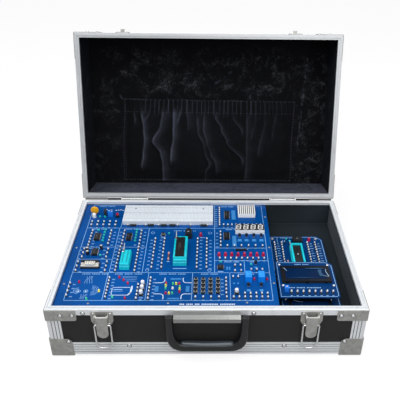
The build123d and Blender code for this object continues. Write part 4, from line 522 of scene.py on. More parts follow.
class Shape:
    """A mesh built up in millimetres from simple closed forms, each with a finish."""

    def __init__(self, finishes):
        self.bm = bmesh.new()
        self.finishes = finishes

    def paint(self, faces, finish):
        """Gives the faces a finish, the first where none is named."""
        index = self.finishes.index(finish) if finish else 0
        for face in faces:
            face.material_index = index

    def skin(self, rings, finish=None):
        """A tube with closed ends over rings of as many points each."""
        faces = [self.bm.faces.new(reversed(rings[0])), self.bm.faces.new(rings[-1])]
        for low, high in zip(rings, rings[1:]):
            for i in range(len(low)):
                j = (i + 1) % len(low)
                faces.append(self.bm.faces.new((low[i], low[j], high[j], high[i])))
        self.paint(faces, finish)
        return faces

    def prism(self, points, low, high, finish=None, bevel=0.0):
        """An upright prism over a counter-clockwise outline, its edges bevelled if asked."""
        foot, top, *walls = self.skin([[self.bm.verts.new((x, y, z)) for x, y in points] for z in (low, high)], finish)
        if bevel:
            sharp = [edge for face in (top, *walls) for edge in face.edges if edge not in foot.edges[:]]
            made = bmesh.ops.bevel(self.bm, geom=list(dict.fromkeys(sharp)), offset=bevel, segments=2,
                                   affect="EDGES", profile=0.6)
            self.paint(made["faces"], finish)

    def block(self, left, right, front, back, low, high, finish=None, bevel=0.0):
        self.prism([(left, front), (right, front), (right, back), (left, back)], low, high, finish, bevel)

    def lathe(self, centre, profile, sides=16, finish=None, axis="Z"):
        """A closed turned form: profile is (radius, height) from bottom to top about an axis through centre."""
        rings = [[self.bm.verts.new(turned(centre, radius, height, 2 * math.pi * i / sides, axis))
                  for i in range(sides if radius else 1)] for radius, height in profile]
        faces = []
        if len(rings[0]) > 1:
            faces.append(self.bm.faces.new(reversed(rings[0])))
        if len(rings[-1]) > 1:
            faces.append(self.bm.faces.new(rings[-1]))
        for low, high in zip(rings, rings[1:]):
            for i in range(sides):
                j = (i + 1) % sides
                corners = [low[i % len(low)], low[j % len(low)], high[j % len(high)], high[i % len(high)]]
                unique = list(dict.fromkeys(corners))
                if len(unique) > 2:
                    faces.append(self.bm.faces.new(unique))
        self.paint(faces, finish)

    def rod(self, path, radius, sides=8, finish=None):
        """A round bar through the given points."""
        rings = []
        points = [Vector(point) for point in path]
        side = None
        for i, point in enumerate(points):
            ahead = points[min(i + 1, len(points) - 1)] - points[max(i - 1, 0)]
            ahead.normalize()
            if side is None:
                side = ahead.orthogonal().normalized()
            side = (side - ahead * side.dot(ahead)).normalized()
            up = ahead.cross(side)
            rings.append([
                self.bm.verts.new(point + radius * (math.cos(a) * side + math.sin(a) * up))
                for a in (2 * math.pi * k / sides for k in range(sides))
            ])
        self.skin(rings, finish)

    def band(self, path, width, closed=False, height=None, thick=0.06, finish=None):
        """A flat band of even width along a level path."""
        height = BOARD_TOP if height is None else height
        points = [Vector((x, y, 0)) for x, y in path]
        count = len(points)
        rings = []
        for i, point in enumerate(points):
            before = points[i - 1] if closed or i else point
            after = points[(i + 1) % count] if closed or i < count - 1 else point
            along = (after - before).normalized()
            across = Vector((-along.y, along.x, 0)) * width / 2
            rings.append([self.bm.verts.new((*(point + across * side).xy, z))
                          for side, z in ((-1, height), (1, height), (1, height + thick), (-1, height + thick))])
        faces = []
        for i in range(count if closed else count - 1):
            a, b = rings[i], rings[(i + 1) % count]
            faces += [self.bm.faces.new((a[k], a[(k + 1) % 4], b[(k + 1) % 4], b[k])) for k in range(4)]
        if not closed:
            faces += [self.bm.faces.new(rings[0]), self.bm.faces.new(reversed(rings[-1]))]
        self.paint(faces, finish)

    def object(self, name, body, smooth=None, replaces=(), place=None):
        """The finished piece, riding on its body."""
        bmesh.ops.recalc_face_normals(self.bm, faces=self.bm.faces)
        # Faces are put in order by their corners, since the order that bevelling leaves can change from run to run
        ordered = sorted(self.bm.faces, key=lambda face: sorted(vert.co[:] for vert in face.verts))
        rank = {face: place_in_order for place_in_order, face in enumerate(ordered)}
        self.bm.faces.sort(key=rank.get)
        mesh = bpy.data.meshes.new(name)
        self.bm.transform(to_frame(place))
        self.bm.to_mesh(mesh)
        self.bm.free()
        for finish in self.finishes:
            mesh.materials.append(FINISH[finish])
        return seat(bpy.data.objects.new(name, mesh), body, smooth, replaces)


def to_frame(place=None):
    """Millimetres about the middle of the case, or about the shut lid with LID_PLACE, to the frame's metres."""
    return Matrix.Scale(MM, 4) @ Matrix.Translation((0, CASE_Y, 0)) @ (place or Matrix.Identity(4))


def seat(piece, body, smooth=None, replaces=()):
    """Links a finished object, shades it and rides it on its body."""
    if piece.name not in bpy.context.scene.collection.objects:
        bpy.context.scene.collection.objects.link(piece)
    if smooth is not None:
        shade(piece.data, smooth)
    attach(piece, body)
    if replaces:
        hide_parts(*replaces)
    return piece


def shade(mesh, angle):
    """Smooth faces, with edges sharper than the angle kept crisp."""
    bm = bmesh.new()
    bm.from_mesh(mesh)
    for face in bm.faces:
        face.smooth = True
    for edge in bm.edges:
        if len(edge.link_faces) == 2:
            edge.smooth = edge.calc_face_angle(0) < math.radians(angle)
        else:
            edge.smooth = False
    bm.to_mesh(mesh)
    bm.free()


def turned(centre, radius, height, angle, axis):
    """A point at an angle round an axis through centre."""
    across, up = radius * math.cos(angle), radius * math.sin(angle)
    x, y, z = centre
    if axis == "Z":
        return (x + across, y + up, z + height)
    if axis == "X":
        return (x + height, y + across, z + up)
    return (x + up, y + height, z + across)


LID_PLACE = (
    Matrix.Translation((0, HINGE[1], HINGE[2]))
    @ Matrix.Rotation(-math.radians(LID_OPEN), 4, "X")
    @ Matrix.Translation((0, -HINGE[1], -HINGE[2]))
)


# ---------------------------------------------------------------- geometry nodes for what repeats


def start_tree(name, sizes):
    """A tree that takes points, sizes and a finish, with its two ends' sockets."""
    tree = bpy.data.node_groups.new(name, "GeometryNodeTree")
    for way in ("INPUT", "OUTPUT"):
        tree.interface.new_socket("Geometry", in_out=way, socket_type="NodeSocketGeometry")
    for label, default in sizes.items():
        tree.interface.new_socket(label, in_out="INPUT", socket_type="NodeSocketFloat").default_value = default
    tree.interface.new_socket("Finish", in_out="INPUT", socket_type="NodeSocketMaterial")
    return tree, tree.nodes.new("NodeGroupInput").outputs, tree.nodes.new("NodeGroupOutput").inputs


def end_tree(tree, into, out, template):
    """Places the template on every point, by the points' own size and turn, and makes it real."""
    size, turn = (add_node(tree, "GeometryNodeInputNamedAttribute", [("Name", name)], data_type="FLOAT_VECTOR")
                  for name in ("size", "turn"))
    rotation = add_node(tree, "FunctionNodeEulerToRotation", [("Euler", turn.outputs["Attribute"])])
    placed = add_node(tree, "GeometryNodeInstanceOnPoints", [
        ("Points", into["Geometry"]), ("Instance", template), ("Rotation", rotation.outputs[0]),
        ("Scale", size.outputs["Attribute"])])
    real = add_node(tree, "GeometryNodeRealizeInstances", [("Geometry", placed.outputs[0])])
    finished = add_node(tree, "GeometryNodeSetMaterial", [("Geometry", real.outputs[0]), ("Material", into["Finish"])])
    link(tree, finished.outputs[0], out["Geometry"])


def raised(tree, geometry, height):
    """The geometry lifted by a height."""
    lift = add_node(tree, "ShaderNodeCombineXYZ", [("Z", height)]).outputs[0]
    return add_node(tree, "GeometryNodeTransform", [("Geometry", geometry), ("Translation", lift)]).outputs[0]


def cone(tree, sides, bottom, top, depth):
    """A closed cone of the given radii, standing on its foot."""
    return add_node(tree, "GeometryNodeMeshCone", [
        ("Vertices", sides), ("Radius Bottom", bottom), ("Radius Top", top), ("Depth", depth)]).outputs["Mesh"]


def joined(tree, *parts):
    join = add_node(tree, "GeometryNodeJoinGeometry")
    for part in parts:
        link(tree, part, join.inputs[0])
    return join.outputs[0]


def make_trees():
    """The forms that repeat, each of unit size about its foot."""
    # Bar: a block standing on its point
    tree, into, out = start_tree("Bars", {"Side": 1.0})
    side = add_node(tree, "ShaderNodeCombineXYZ", [(axis, into["Side"]) for axis in "XYZ"])
    cube = add_node(tree, "GeometryNodeMeshCube", [("Size", side.outputs[0])])
    half = math_node(tree, "MULTIPLY", into["Side"], 0.5)
    end_tree(tree, into, out, raised(tree, cube.outputs["Mesh"], half))
    # Post: a collar, a round shank and a crown that narrows to its tip
    tree, into, out = start_tree("Posts", {"Shank": 0.8, "Collar": 0.14, "Tip": 0.55})
    collar = cone(tree, 8, 1.0, 0.85, into["Collar"])
    shank = cone(tree, 8, 0.72, 0.72, into["Shank"])
    crown = cone(tree, 8, 0.98, into["Tip"], math_node(tree, "SUBTRACT", 1.0, into["Shank"]))
    end_tree(tree, into, out, joined(tree, collar, shank, raised(tree, crown, into["Shank"])))
    # Dome: a low rivet or screw head
    tree, into, out = start_tree("Domes", {"Shoulder": 0.45, "Crown": 0.55})
    rim = cone(tree, 14, 1.0, 0.9, into["Shoulder"])
    cap = cone(tree, 14, 0.9, into["Crown"], math_node(tree, "SUBTRACT", 1.0, into["Shoulder"]))
    end_tree(tree, into, out, joined(tree, rim, raised(tree, cap, into["Shoulder"])))
    # Lens: a lamp's flange, body and round top
    tree, into, out = start_tree("Lenses", {"Flange": 0.14, "Body": 0.62})
    radius = 0.84
    flange = cone(tree, 14, 1.0, 1.0, into["Flange"])
    body = cone(tree, 14, 0.86, radius, into["Body"])
    ball = add_node(tree, "GeometryNodeMeshUVSphere", [("Segments", 14), ("Rings", 8), ("Radius", radius)])
    squash = math_node(tree, "DIVIDE", math_node(tree, "SUBTRACT", 1.0, into["Body"]), radius)
    flat = add_node(tree, "ShaderNodeCombineXYZ", [("X", 1.0), ("Y", 1.0), ("Z", squash)])
    top = add_node(tree, "GeometryNodeTransform", [("Geometry", ball.outputs["Mesh"]), ("Scale", flat.outputs[0])])
    end_tree(tree, into, out, joined(tree, flange, body, raised(tree, top.outputs[0], into["Body"])))


def repeat(name, tree_name, places, finish, body, slot, replaces=(), smooth=None, **sizes):
    """One plain mesh with a tree's form at every place, each given as point, size and, if any, turn.

    Places on the lid are given about the shut lid.
    """
    mesh = bpy.data.meshes.new(name + "_points")
    mesh.from_pydata([spot[0] for spot in places], [], [])
    for label, index in (("size", 1), ("turn", 2)):
        attribute = mesh.attributes.new(label, "FLOAT_VECTOR", "POINT")
        for i, spot in enumerate(places):
            attribute.data[i].vector = spot[index] if len(spot) > index else (0, 0, 0)
    source = bpy.data.objects.new(name + "_points", mesh)
    bpy.context.scene.collection.objects.link(source)
    tree = bpy.data.node_groups[tree_name]
    modifier = source.modifiers.new("repeat", "NODES")
    modifier.node_group = tree
    for item in tree.interface.items_tree:
        if item.item_type == "SOCKET" and item.in_out == "INPUT":
            if item.name == "Finish":
                modifier[item.identifier] = FINISH[finish]
            elif item.name in sizes:
                modifier[item.identifier] = sizes[item.name]
    graph = bpy.context.evaluated_depsgraph_get()
    made = bpy.data.meshes.new_from_object(source.evaluated_get(graph), depsgraph=graph)
    bpy.data.objects.remove(source)
    made.name = name
    made.transform(to_frame(LID_PLACE if body == "lid" else None))
    made.materials.clear()
    made.materials.append(FINISH[finish])
    for label in ("size", "turn"):
        if label in made.attributes:
            made.attributes.remove(made.attributes[label])
    return seat(bpy.data.objects.new(name, made), body, smooth, replaces)


def stand_posts(name, spots, radius, height, body, replaces=()):
    """Turned posts, their feet at the given points: a black collar of painted shadow round the foot, a dark shank of
    painted shade and a bright round tip of painted highlight.
    """
    repeat(name, "Posts", [(spot, (0.8 * radius, 0.8 * radius, height * 0.8)) for spot in spots], "pin", body,
           "contact_metal", replaces, smooth=40)
    tips = [((x, y, z + 0.58 * height), (radius, radius, 0.42 * height)) for x, y, z in spots]
    repeat(name + "_tips", "Domes", tips, "tip", body, "contact_metal", smooth=50, Shoulder=0.5, Crown=0.5)
    # A black ring round each foot: painted shadow
    shadow_collars = [(spot, (1.22 * radius, 1.22 * radius, 0.9)) for spot in spots]
    repeat(name + "_shadow_collars", "Domes", shadow_collars, "moulding", body, "black_moulding")


# ---------------------------------------------------------------- operators


class TRAINER_OT_finishes(bpy.types.Operator):
    """Build the finishes and give the frame's own pieces theirs"""

    bl_idname = "trainer.finishes"
    bl_label = "Finishes"

    def execute(self, context):
        make_shader_groups()
        make_trees()
        FINISH.update(make_materials())
        given = {
            "laminate": ("base_panels", "lid_panels"),
            "rim": ("base_frame",),
            "lid_rim": ("lid_frame",),
            "zinc": ("base_corner_fittings", "lid_corner_fittings", "latch_base_plates", "lid_catches",
                     "latch_lever_left", "latch_lever_right"),
            "plate": ("base_hinge_leaves", "lid_hinge_leaves"),
            "polished": ("handle_bracket",),
            "chrome": ("base_rivets", "latch_bail_left", "latch_bail_right", "core_zif_lever", "small_zif_lever"),
            "rubber": ("rubber_feet",),
            "lining": ("base_lining",),
            "velvet": ("lid_lining",),
            "pocket": ("lid_pocket",),
            "board": ("main_board", "spare_core_board", "lcd_board_upper", "lcd_board_lower"),
            "breadboard": ("breadboard",),
            "socket": ("core_zif_socket", "small_zif_socket"),
            "moulding": ("logic_chips", "switch_bodies", "reset_button", *[f"key_{n}" for n in range(1, 17)]),
            "white": ("level_button_1", "level_button_2", "level_button_3", "relay_button"),
            "red": ("indicator_leds",),
            "face": ("digit_display", "dot_matrix_display"),
            "relay": ("relays",),
            "teal": ("discrete_parts",),
            "shell": ("board_connectors",),
            "tin": ("jumper_posts",),
            "handle": ("carry_handle",),
        }
        for finish, names in given.items():
            for name in names:
                mesh = NODES[name].data
                mesh.materials.clear()
                mesh.materials.append(FINISH[finish])
        return {"FINISHED"}


class TRAINER_OT_board_print(bpy.types.Operator):
    """Print the module borders, the labels' plain bars and the symbols on the main board"""

    bl_idname = "trainer.board_print"
    bl_label = "Board print"

    borders = (
        (-217.5, 141, 100, 141), (-217.5, -125, 100, -125), (-217.5, 65.5, 100, 65.5), (-217.5, 9, -106, 9),
        (-217.5, -24.5, -159, -24.5), (-217.5, -59, 100, -59), (11, 7, 100, 7), (11, -27.5, 100, -27.5),
        (-217.5, -125, -217.5, 141), (100, -125, 100, 141), (-157.5, 65.5, -157.5, 141), (-159, -59, -159, 65.5),
        (-160, -125, -160, -59), (-106, -59, -106, 65.5), (11, -59, 11, 141), (-95, -125, -95, -59),
        (-24.5, -125, -24.5, -59), (35.5, -125, 35.5, -59), (60, -59, 60, -27.5),
    )

    def execute(self, context):
        line = context.scene.trainer_print.line / MM
        title = [self.dash(-41 + i * 2.55, -133.3, 1.8, 2.6) for i in range(33) if i not in (3, 8, 12, 23)]
        sensors = [self.dash(-196 + i * 4.4, 124.5 + 1.2 * math.sin(i * 2.1), 3.0, 1.8) for i in range(9) if i != 4]
        for name, places, finish in (
            ("module_borders", [self.bar(*border, line) for border in self.borders], "print"),
            ("printed_labels", self.labels(), "print"),
            ("printed_title", title, "bright_print"),
            ("sensor_labels", sensors, "bright_print"),
            ("printed_blocks", [self.dash(*patch, 0.05) for patch in self.blocks()], "pale_print"),
        ):
            repeat(name, "Bars", places, finish, "base", "circuit_board")
        self.curves()
        return {"FINISHED"}

    def bar(self, x0, y0, x1, y1, width):
        """A printed line from one point to the other."""
        run = math.hypot(x1 - x0, y1 - y0) + width
        return ((x0 + x1) / 2, (y0 + y1) / 2, BOARD_TOP), (run, width, 0.06), (0, 0, math.atan2(y1 - y0, x1 - x0))

    def dash(self, x, y, wide, tall=1.2, thick=0.06):
        return (x, y, BOARD_TOP), (wide, tall, thick)

    def labels(self):
        """Short plain bars where a board carries its pin names and headings."""
        made = []
        for line in POST_LINES:
            (x0, y0), (x1, y1), count = line
            if count < 3:
                continue
            upright = abs(x1 - x0) < abs(y1 - y0)
            for x, y in spaced(line):
                if upright:
                    beside = x + (6.2 if x0 in LABELS_AT_RIGHT else -6.2)
                    made += [self.dash(beside, y, 4.4, 0.8), self.dash(beside, y - 1.4, 4.4, 0.35)]
                else:
                    made.append(self.dash(x, y - 4.0 if y0 < 60 else y - 4.2, 3.4, 0.8))
        # Headings of the modules: start, letters and their pitch
        for x, y, count, pitch in (
            (-205, 137.5, 12, 2.6), (-206, 62.2, 10, 2.6), (-148, 62.2, 11, 2.6), (-60, 57.5, 14, 2.8),
            (-206, 5.5, 9, 2.6), (-150, 5.8, 4, 2.4), (-206, -28, 10, 2.6), (-200, -62.6, 16, 2.6),
            (-148, -62.6, 17, 2.6), (-77, -62.6, 17, 2.5), (-10, -62.6, 11, 2.5), (50, -62.6, 10, 2.6),
            (24, 137.0, 10, 2.4), (32, 62.0, 8, 2.4), (28, -31.0, 7, 2.4), (70, -31.0, 6, 2.4), (48, 3.6, 9, 2.4),
        ):
            made += [self.dash(x + i * pitch, y, 1.7, 1.7) for i in range(count) if i % 6 != 5]
        # Captions beside parts
        for x, y, wide in ((20.8, -56, 9), (-46, -48.5, 22), (-10, 37, 9), (-79.5, 36.5, 7), (47, -31, 10),
                           (-66, -30.5, 5), (45, -100, 6), (-101.5, -119, 6), (-126, 15, 4), (-184, 15, 4)):
            made.append(self.dash(x, y, wide, 1.3))
        return made

    def blocks(self):
        """Filled patches, each as its middle, width and depth."""
        made = []
        # Lettered panels, row by row
        pitch = 2.2
        for left, right, front, back in ((42.6, 50.0, 94, 126), (42.0, 49.0, 12, 44)):
            made += [(0.5 * (left + right), front + (i + 0.5) * pitch, right - left, pitch * 0.72)
                     for i in range(int((back - front) / pitch))]
        # Crossings in front of and behind the road, then those at its sides
        stripes = 9
        for left, right, front, back in ((-59, -42, -76.6, -72.6), (-61, -43, -122.4, -119)):
            made += [(left + (i + 0.5) * (right - left) / stripes, (front + back) / 2, 1.2, back - front)
                     for i in range(stripes)]
        for left, right, front, back in ((-82, -76.5, -105, -92), (-34, -28.5, -105, -92)):
            made += [((left + right) / 2, front + (i + 0.5) * (back - front) / stripes, right - left, 0.9)
                     for i in range(stripes)]
        made += [(x, y, 2.4, 3.0) for x, y in ((31.5, -49.5), (31.5, -45.5), (35.5, -49.5), (35.5, -45.5),
                                               (41.5, -85), (48, -85))]
        # Symbols in front of the small transistors
        for x in (55, 67, 80, 93):
            made += [(x, 30.5, 6.6, 4.6), (x, 27.0, 8.6, 1.1)]
        made += [(64, -101.5, 5.4, 4.2), (84, -101.5, 5.4, 4.2), (78.5, -45.5, 4.4, 3.4)]
        # Outlines round the keys
        return made + [(x + offset, y, 0.5, 5.0) for x, y in KEYS for offset in (-4.3, 4.3)]

    def curves(self):
        """Rings round the fixing holes, the crossing's kerbs, the tank and the winding road."""
        shape = Shape(["print", "bright_print"])
        for x, y in ((-98.5, 51), (3, 51), (-98.5, -53), (2.5, -53)):
            self.ring(shape, x, y, 2.9)
        self.ring(shape, *RESET, 4.4)
        for x, y, across, along in ((-68, -72, -1, 1), (-39, -72, 1, 1), (-68, -122, -1, -1), (-40.5, -122, 1, -1)):
            # Kerb: runs in beside the road, turns a quarter circle and leaves along the crossing road
            path = [(x, y), (x, y - along * 6)]
            path += [(x + across * 6 * (1 - math.cos(a)), y - along * (6 + 6 * math.sin(a)))
                     for a in (math.pi / 2 * k / 6 for k in range(1, 7))]
            path.append((x + across * 15, y - along * 12))
            shape.band(path, 1.2, finish="bright_print")
        # Tank with rounded corners, its thick inlet at the right and its thin pipes
        tank = [(-148.0, -97), (-146.5, -95), (-121, -95), (-119.5, -97), (-119.5, -110), (-122, -113),
                (-145.5, -113), (-148.0, -111)]
        shape.band(tank, 0.9, True, finish="bright_print")
        shape.band([(-147, -104), (-131, -104)], 0.5)
        shape.band([(-118.2, -91.5), (-117.6, -99), (-118.6, -106), (-122.5, -112.5)], 1.9, finish="bright_print")
        for y in (-68.5, -71.5, -75.5, -79.5):
            shape.band([(-137 + (y + 68.5) * -0.7, y), (-112.5, y - 1.0)], 0.4)
        shape.band([(-146, -100), (-132, -100)], 1.3)
        # Winding road: four lanes down, and turns to each side round two markers
        half_turn = [math.pi * (0.5 - k / 12) for k in range(13)]
        for lane in range(4):
            x = -192.5 + 3.1 * lane
            shape.band([(x + 1.1 * math.sin(k * 0.7 + lane), -68 - 2.2 * k) for k in range(9)], 0.45)
            shape.band([(x + 1.1 * math.sin(k * 0.7 + lane) - 1.5, -111 - 2.2 * k) for k in range(6)], 0.45)
            reach = 3.5 + 2.6 * lane
            shape.band([(-180 + reach * math.cos(a), -102 + reach * 0.95 * math.sin(a)) for a in half_turn], 0.45)
            if lane < 3:
                reach *= 0.8
                shape.band([(-200 - reach * math.cos(a), -103 + reach * math.sin(a)) for a in half_turn], 0.45)
        for x, y in ((-188, -104), (-199.5, -104)):
            self.ring(shape, x, y, 3.2)
            shape.lathe((x, y, BOARD_TOP), [(1.3, 0), (1.3, 0.06)], 16, "bright_print")
        shape.object("printed_symbols", "base")

    def ring(self, shape, x, y, radius):
        angles = [2 * math.pi * k / 24 for k in range(24)]
        shape.band([(x + radius * math.cos(a), y + radius * math.sin(a)) for a in angles], 0.6, True)


class TRAINER_OT_contacts(bpy.types.Operator):
    """Stand the turned contact posts, and sink the screws that hold the boards"""

    bl_idname = "trainer.contacts"
    bl_label = "Contacts and screws"

    def execute(self, context):
        posts = [(x, y, BOARD_TOP) for line in POST_LINES for x, y in spaced(line)]
        stand_posts("contact_posts", posts, 1.5, top_of("jumper_posts") - BOARD_TOP, "base", ["jumper_posts"])
        screws = [((x, y, BOARD_TOP), (1.9, 1.9, 1.1)) for x, y in BOARD_SCREWS]
        repeat("board_screws", "Domes", screws, "zinc", "base", "rivet_metal", smooth=35, Shoulder=0.35, Crown=0.5)
        slots = [((x, y, BOARD_TOP + 1.07), (1.6, 0.4, 0.06), (0, 0, turn))
                 for x, y in BOARD_SCREWS for turn in (0.6, 2.17)]
        repeat("screw_slots", "Bars", slots, "moulding", "base", "black_moulding")
        return {"FINISHED"}


class TRAINER_OT_lamps(bpy.types.Operator):
    """Light-emitting diodes of each colour"""

    bl_idname = "trainer.lamps"
    bl_label = "Lamps"

    def execute(self, context):
        large = [((x, y, BOARD_TOP), (2.9, 2.9, 7.4)) for x, y in LARGE_LAMPS]
        for finish, places in SMALL_LAMPS.items():
            spots = [((x, y, BOARD_TOP), (1.9, 1.9, 4.3)) for x, y in places]
            repeat(f"{finish}_lamps", "Lenses", (large if finish == "red" else []) + spots, finish, "base",
                   "lamp_plastic", ["indicator_leds"] if finish == "red" else (), smooth=50)
        return {"FINISHED"}


class TRAINER_OT_breadboard(bpy.types.Operator):
    """Contact holes, rails and edge marks of the solderless breadboard"""

    bl_idname = "trainer.breadboard"
    bl_label = "Breadboard"

    def execute(self, context):
        left, right, front, back, _, top = box("breadboard")
        middle = (front + back) / 2
        columns = 63
        start = (left + right) / 2 - PITCH * (columns - 1) / 2
        sunk = top - 0.02
        holes = []
        for side in (-1, 1):
            # The block's five rows, then the rail's two, where every sixth hole is missing
            for offset, rows, missing in ((3.81, 5, None), (20.2, 2, 5)):
                holes += [((start + PITCH * i, middle + side * (offset + row * PITCH), sunk), (1.0, 1.0, 0.05))
                          for row in range(rows) for i in range(columns) if i % 6 != missing]
        repeat("breadboard_holes", "Bars", holes, "hole", "base", "white_plastic")
        lines = [(((left + right) / 2, middle + side * offset, sunk), (right - left - 8, 0.3, 0.05))
                 for side in (-1, 1) for offset in (18.6, 24.9)]
        repeat("rail_lines", "Bars", lines, "hole", "base", "white_plastic")
        marks = [((left + 18 + i * 10.6, middle - 3.0, sunk), (1.0, 0.7, 0.06)) for i in range(13)]
        repeat("column_marks", "Bars", marks, "red", "base", "white_plastic")
        screws = [((x, middle + 14.5, sunk), (1.6, 1.6, 0.08)) for x in (left + 20, right - 18)]
        repeat("breadboard_screws", "Domes", screws, "moulding", "base", "white_plastic")
        joints = [(((left + right) / 2, middle + side * 17.1, sunk), (right - left, 0.7, 0.05)) for side in (-1, 1)]
        repeat("rail_joints", "Bars", joints, "hole", "base", "white_plastic")
        # Black feet of the parts in front of the breadboard
        shape = Shape(["moulding"])
        for x in (-136, -104, -81, -65, -9):
            shape.block(x - 5.5, x + 5.5, 70.6, 74.4, BOARD_TOP, BOARD_TOP + 3.0, "moulding", 0.4)
        shape.object("link_blocks", "base", 30)
        return {"FINISHED"}


class TRAINER_OT_chips(bpy.types.Operator):
    """Leads and markings of the packages, and slots of the zero-insertion-force sockets"""

    bl_idname = "trainer.chips"
    bl_label = "Chips and sockets"

    def execute(self, context):
        leads = []
        for left, right, front, back in CHIPS:
            count = max(int((back - front) / PITCH), 3)
            for i in range(count):
                y = (front + back) / 2 + (i - (count - 1) / 2) * PITCH
                for x in (left - 0.25, right + 0.25):
                    leads.append(((x, y, BOARD_TOP), (0.5, 1.1, 3.0)))
                    leads.append(((x, y, BOARD_TOP + 2.3), (1.2, 1.1, 0.5)))
        repeat("chip_leads", "Bars", leads, "tin", "base", "contact_metal")
        # Printed bars on the packages, in place of their markings
        marks = [(((left + right) / 2 - 1, (front + back) / 2, BOARD_TOP + 4.6), (0.7, (back - front) * 0.55, 0.05))
                 for left, right, front, back in CHIPS]
        controller = top_of("logic_chips")
        marks += [((-48.6, -8.5, controller), (0.5, 20, 0.05)), ((-46.6, -6.5, controller), (0.5, 12, 0.05))]
        repeat("package_marks", "Bars", marks, "groove", "base", "black_moulding")
        # Slots of the sockets; those of the large one show only in front of its chip
        top = top_of("core_zif_socket")
        slots = []
        for left, right, front, back, rise, last in ((-57.5, -35.0, -42.0, 22.0, -0.02, -34),
                                                     (-143.5, -127.5, -52.5, -13.0, 0.76, 0)):
            rows = [front + 6 + i * PITCH for i in range(int((back - front - 14) / PITCH) + 2)]
            slots += [((x, y, top + rise), (2.5, 1.3, 0.1))
                      for y in rows if y <= last for x in (left + 4.6, right - 4.6)]
        repeat("socket_slots", "Bars", slots, "slot", "base", "socket_plastic")
        # Raised rim that frames the controller chip, and the small socket's stepped cover
        rim = Shape(["socket"])
        for left, right, front, back in ((-57.3, -54.3, -35.2, 14.5), (-39.2, -35.2, -35.2, 21.6),
                                         (-52.5, -39.2, 17.8, 21.6), (-57.3, -35.2, -37.5, -34.8)):
            rim.block(left, right, front, back, top, top + 2.3, "socket", 0.4)
        # The cover is notched at its back for the lever
        cover = [(-141.5, -49.5), (-129.5, -49.5), (-129.5, -16.0), (-138.4, -16.0), (-138.4, -20.5), (-141.5, -20.5)]
        rim.prism(cover, top, top + 0.8, "socket")
        rim.object("socket_rims", "base", 30)
        return {"FINISHED"}


class TRAINER_OT_displays(bpy.types.Operator):
    """Faces of the four-digit display and the dot matrix"""

    bl_idname = "trainer.displays"
    bl_label = "Displays"

    def execute(self, context):
        self.digits()
        self.matrix()
        return {"FINISHED"}

    def digits(self):
        left, right, front, back, low, high = box("digit_display")
        shape = Shape(["face", "moulding"])
        shape.block(left, right, front, back, low, high - 0.5, "face", 0.3)
        shape.block(left + 0.3, right - 0.3, front + 0.3, back - 0.3, high - 0.5, high, "moulding", 0.15)
        shape.object("digit_case", "base", 30, ["digit_display"])
        segments = []
        top = high - 0.01
        width = (right - left) / 4
        middle = (front + back) / 2
        slant = 0.12
        for i in range(4):
            x = left + (i + 0.46) * width
            for dy in (-6.5, 0, 6.5):
                segments.append(((x + dy * slant, middle + dy, top), (5.6, 1.7, 0.06)))
            for dx in (-3.5, 3.5):
                for dy in (-3.3, 3.3):
                    segments.append(((x + dx + dy * slant, middle + dy, top), (1.7, 5.4, 0.06), (0, 0, -slant)))
        repeat("digit_segments", "Bars", segments, "segment", "base", "display_plastic")
        pins = [((left + 4 + i * 3.7, back + 1.2, BOARD_TOP), (0.7, 0.7, 2.2)) for i in range(12)]
        repeat("digit_pins", "Bars", pins, "tin", "base", "contact_metal")

    def matrix(self):
        left, right, front, back, low, high = box("dot_matrix_display")
        shape = Shape(["face", "stripe"])
        shape.block(left, right, front, back, low, high - 0.4, "face", 0.3)
        shape.block(left + 1.0, right - 1.0, front + 0.6, back - 0.4, high - 0.4, high - 0.1, "stripe", 0.1)
        shape.object("matrix_case", "base", 30, ["dot_matrix_display"])
        count = 8
        pitch = (right - left - 2.0) / count
        ribs = [((left + 1.0 + i * pitch, (front + back) / 2, high - 0.4),
                 (1.75 if i % count else 1.6, back - front - 0.6, 0.4)) for i in range(count + 1)]
        repeat("matrix_ribs", "Bars", ribs, "face", "base", "display_plastic")
        dots = [((left + 1.0 + (i + 0.5) * pitch, front + 2.6 + j * (back - front - 5.0) / (count - 1), high - 0.12),
                 (0.7, 0.8, 0.1)) for i in range(count) for j in range(count)]
        repeat("matrix_dots", "Domes", dots, "hole", "base", "display_plastic", Shoulder=0.5, Crown=0.85)


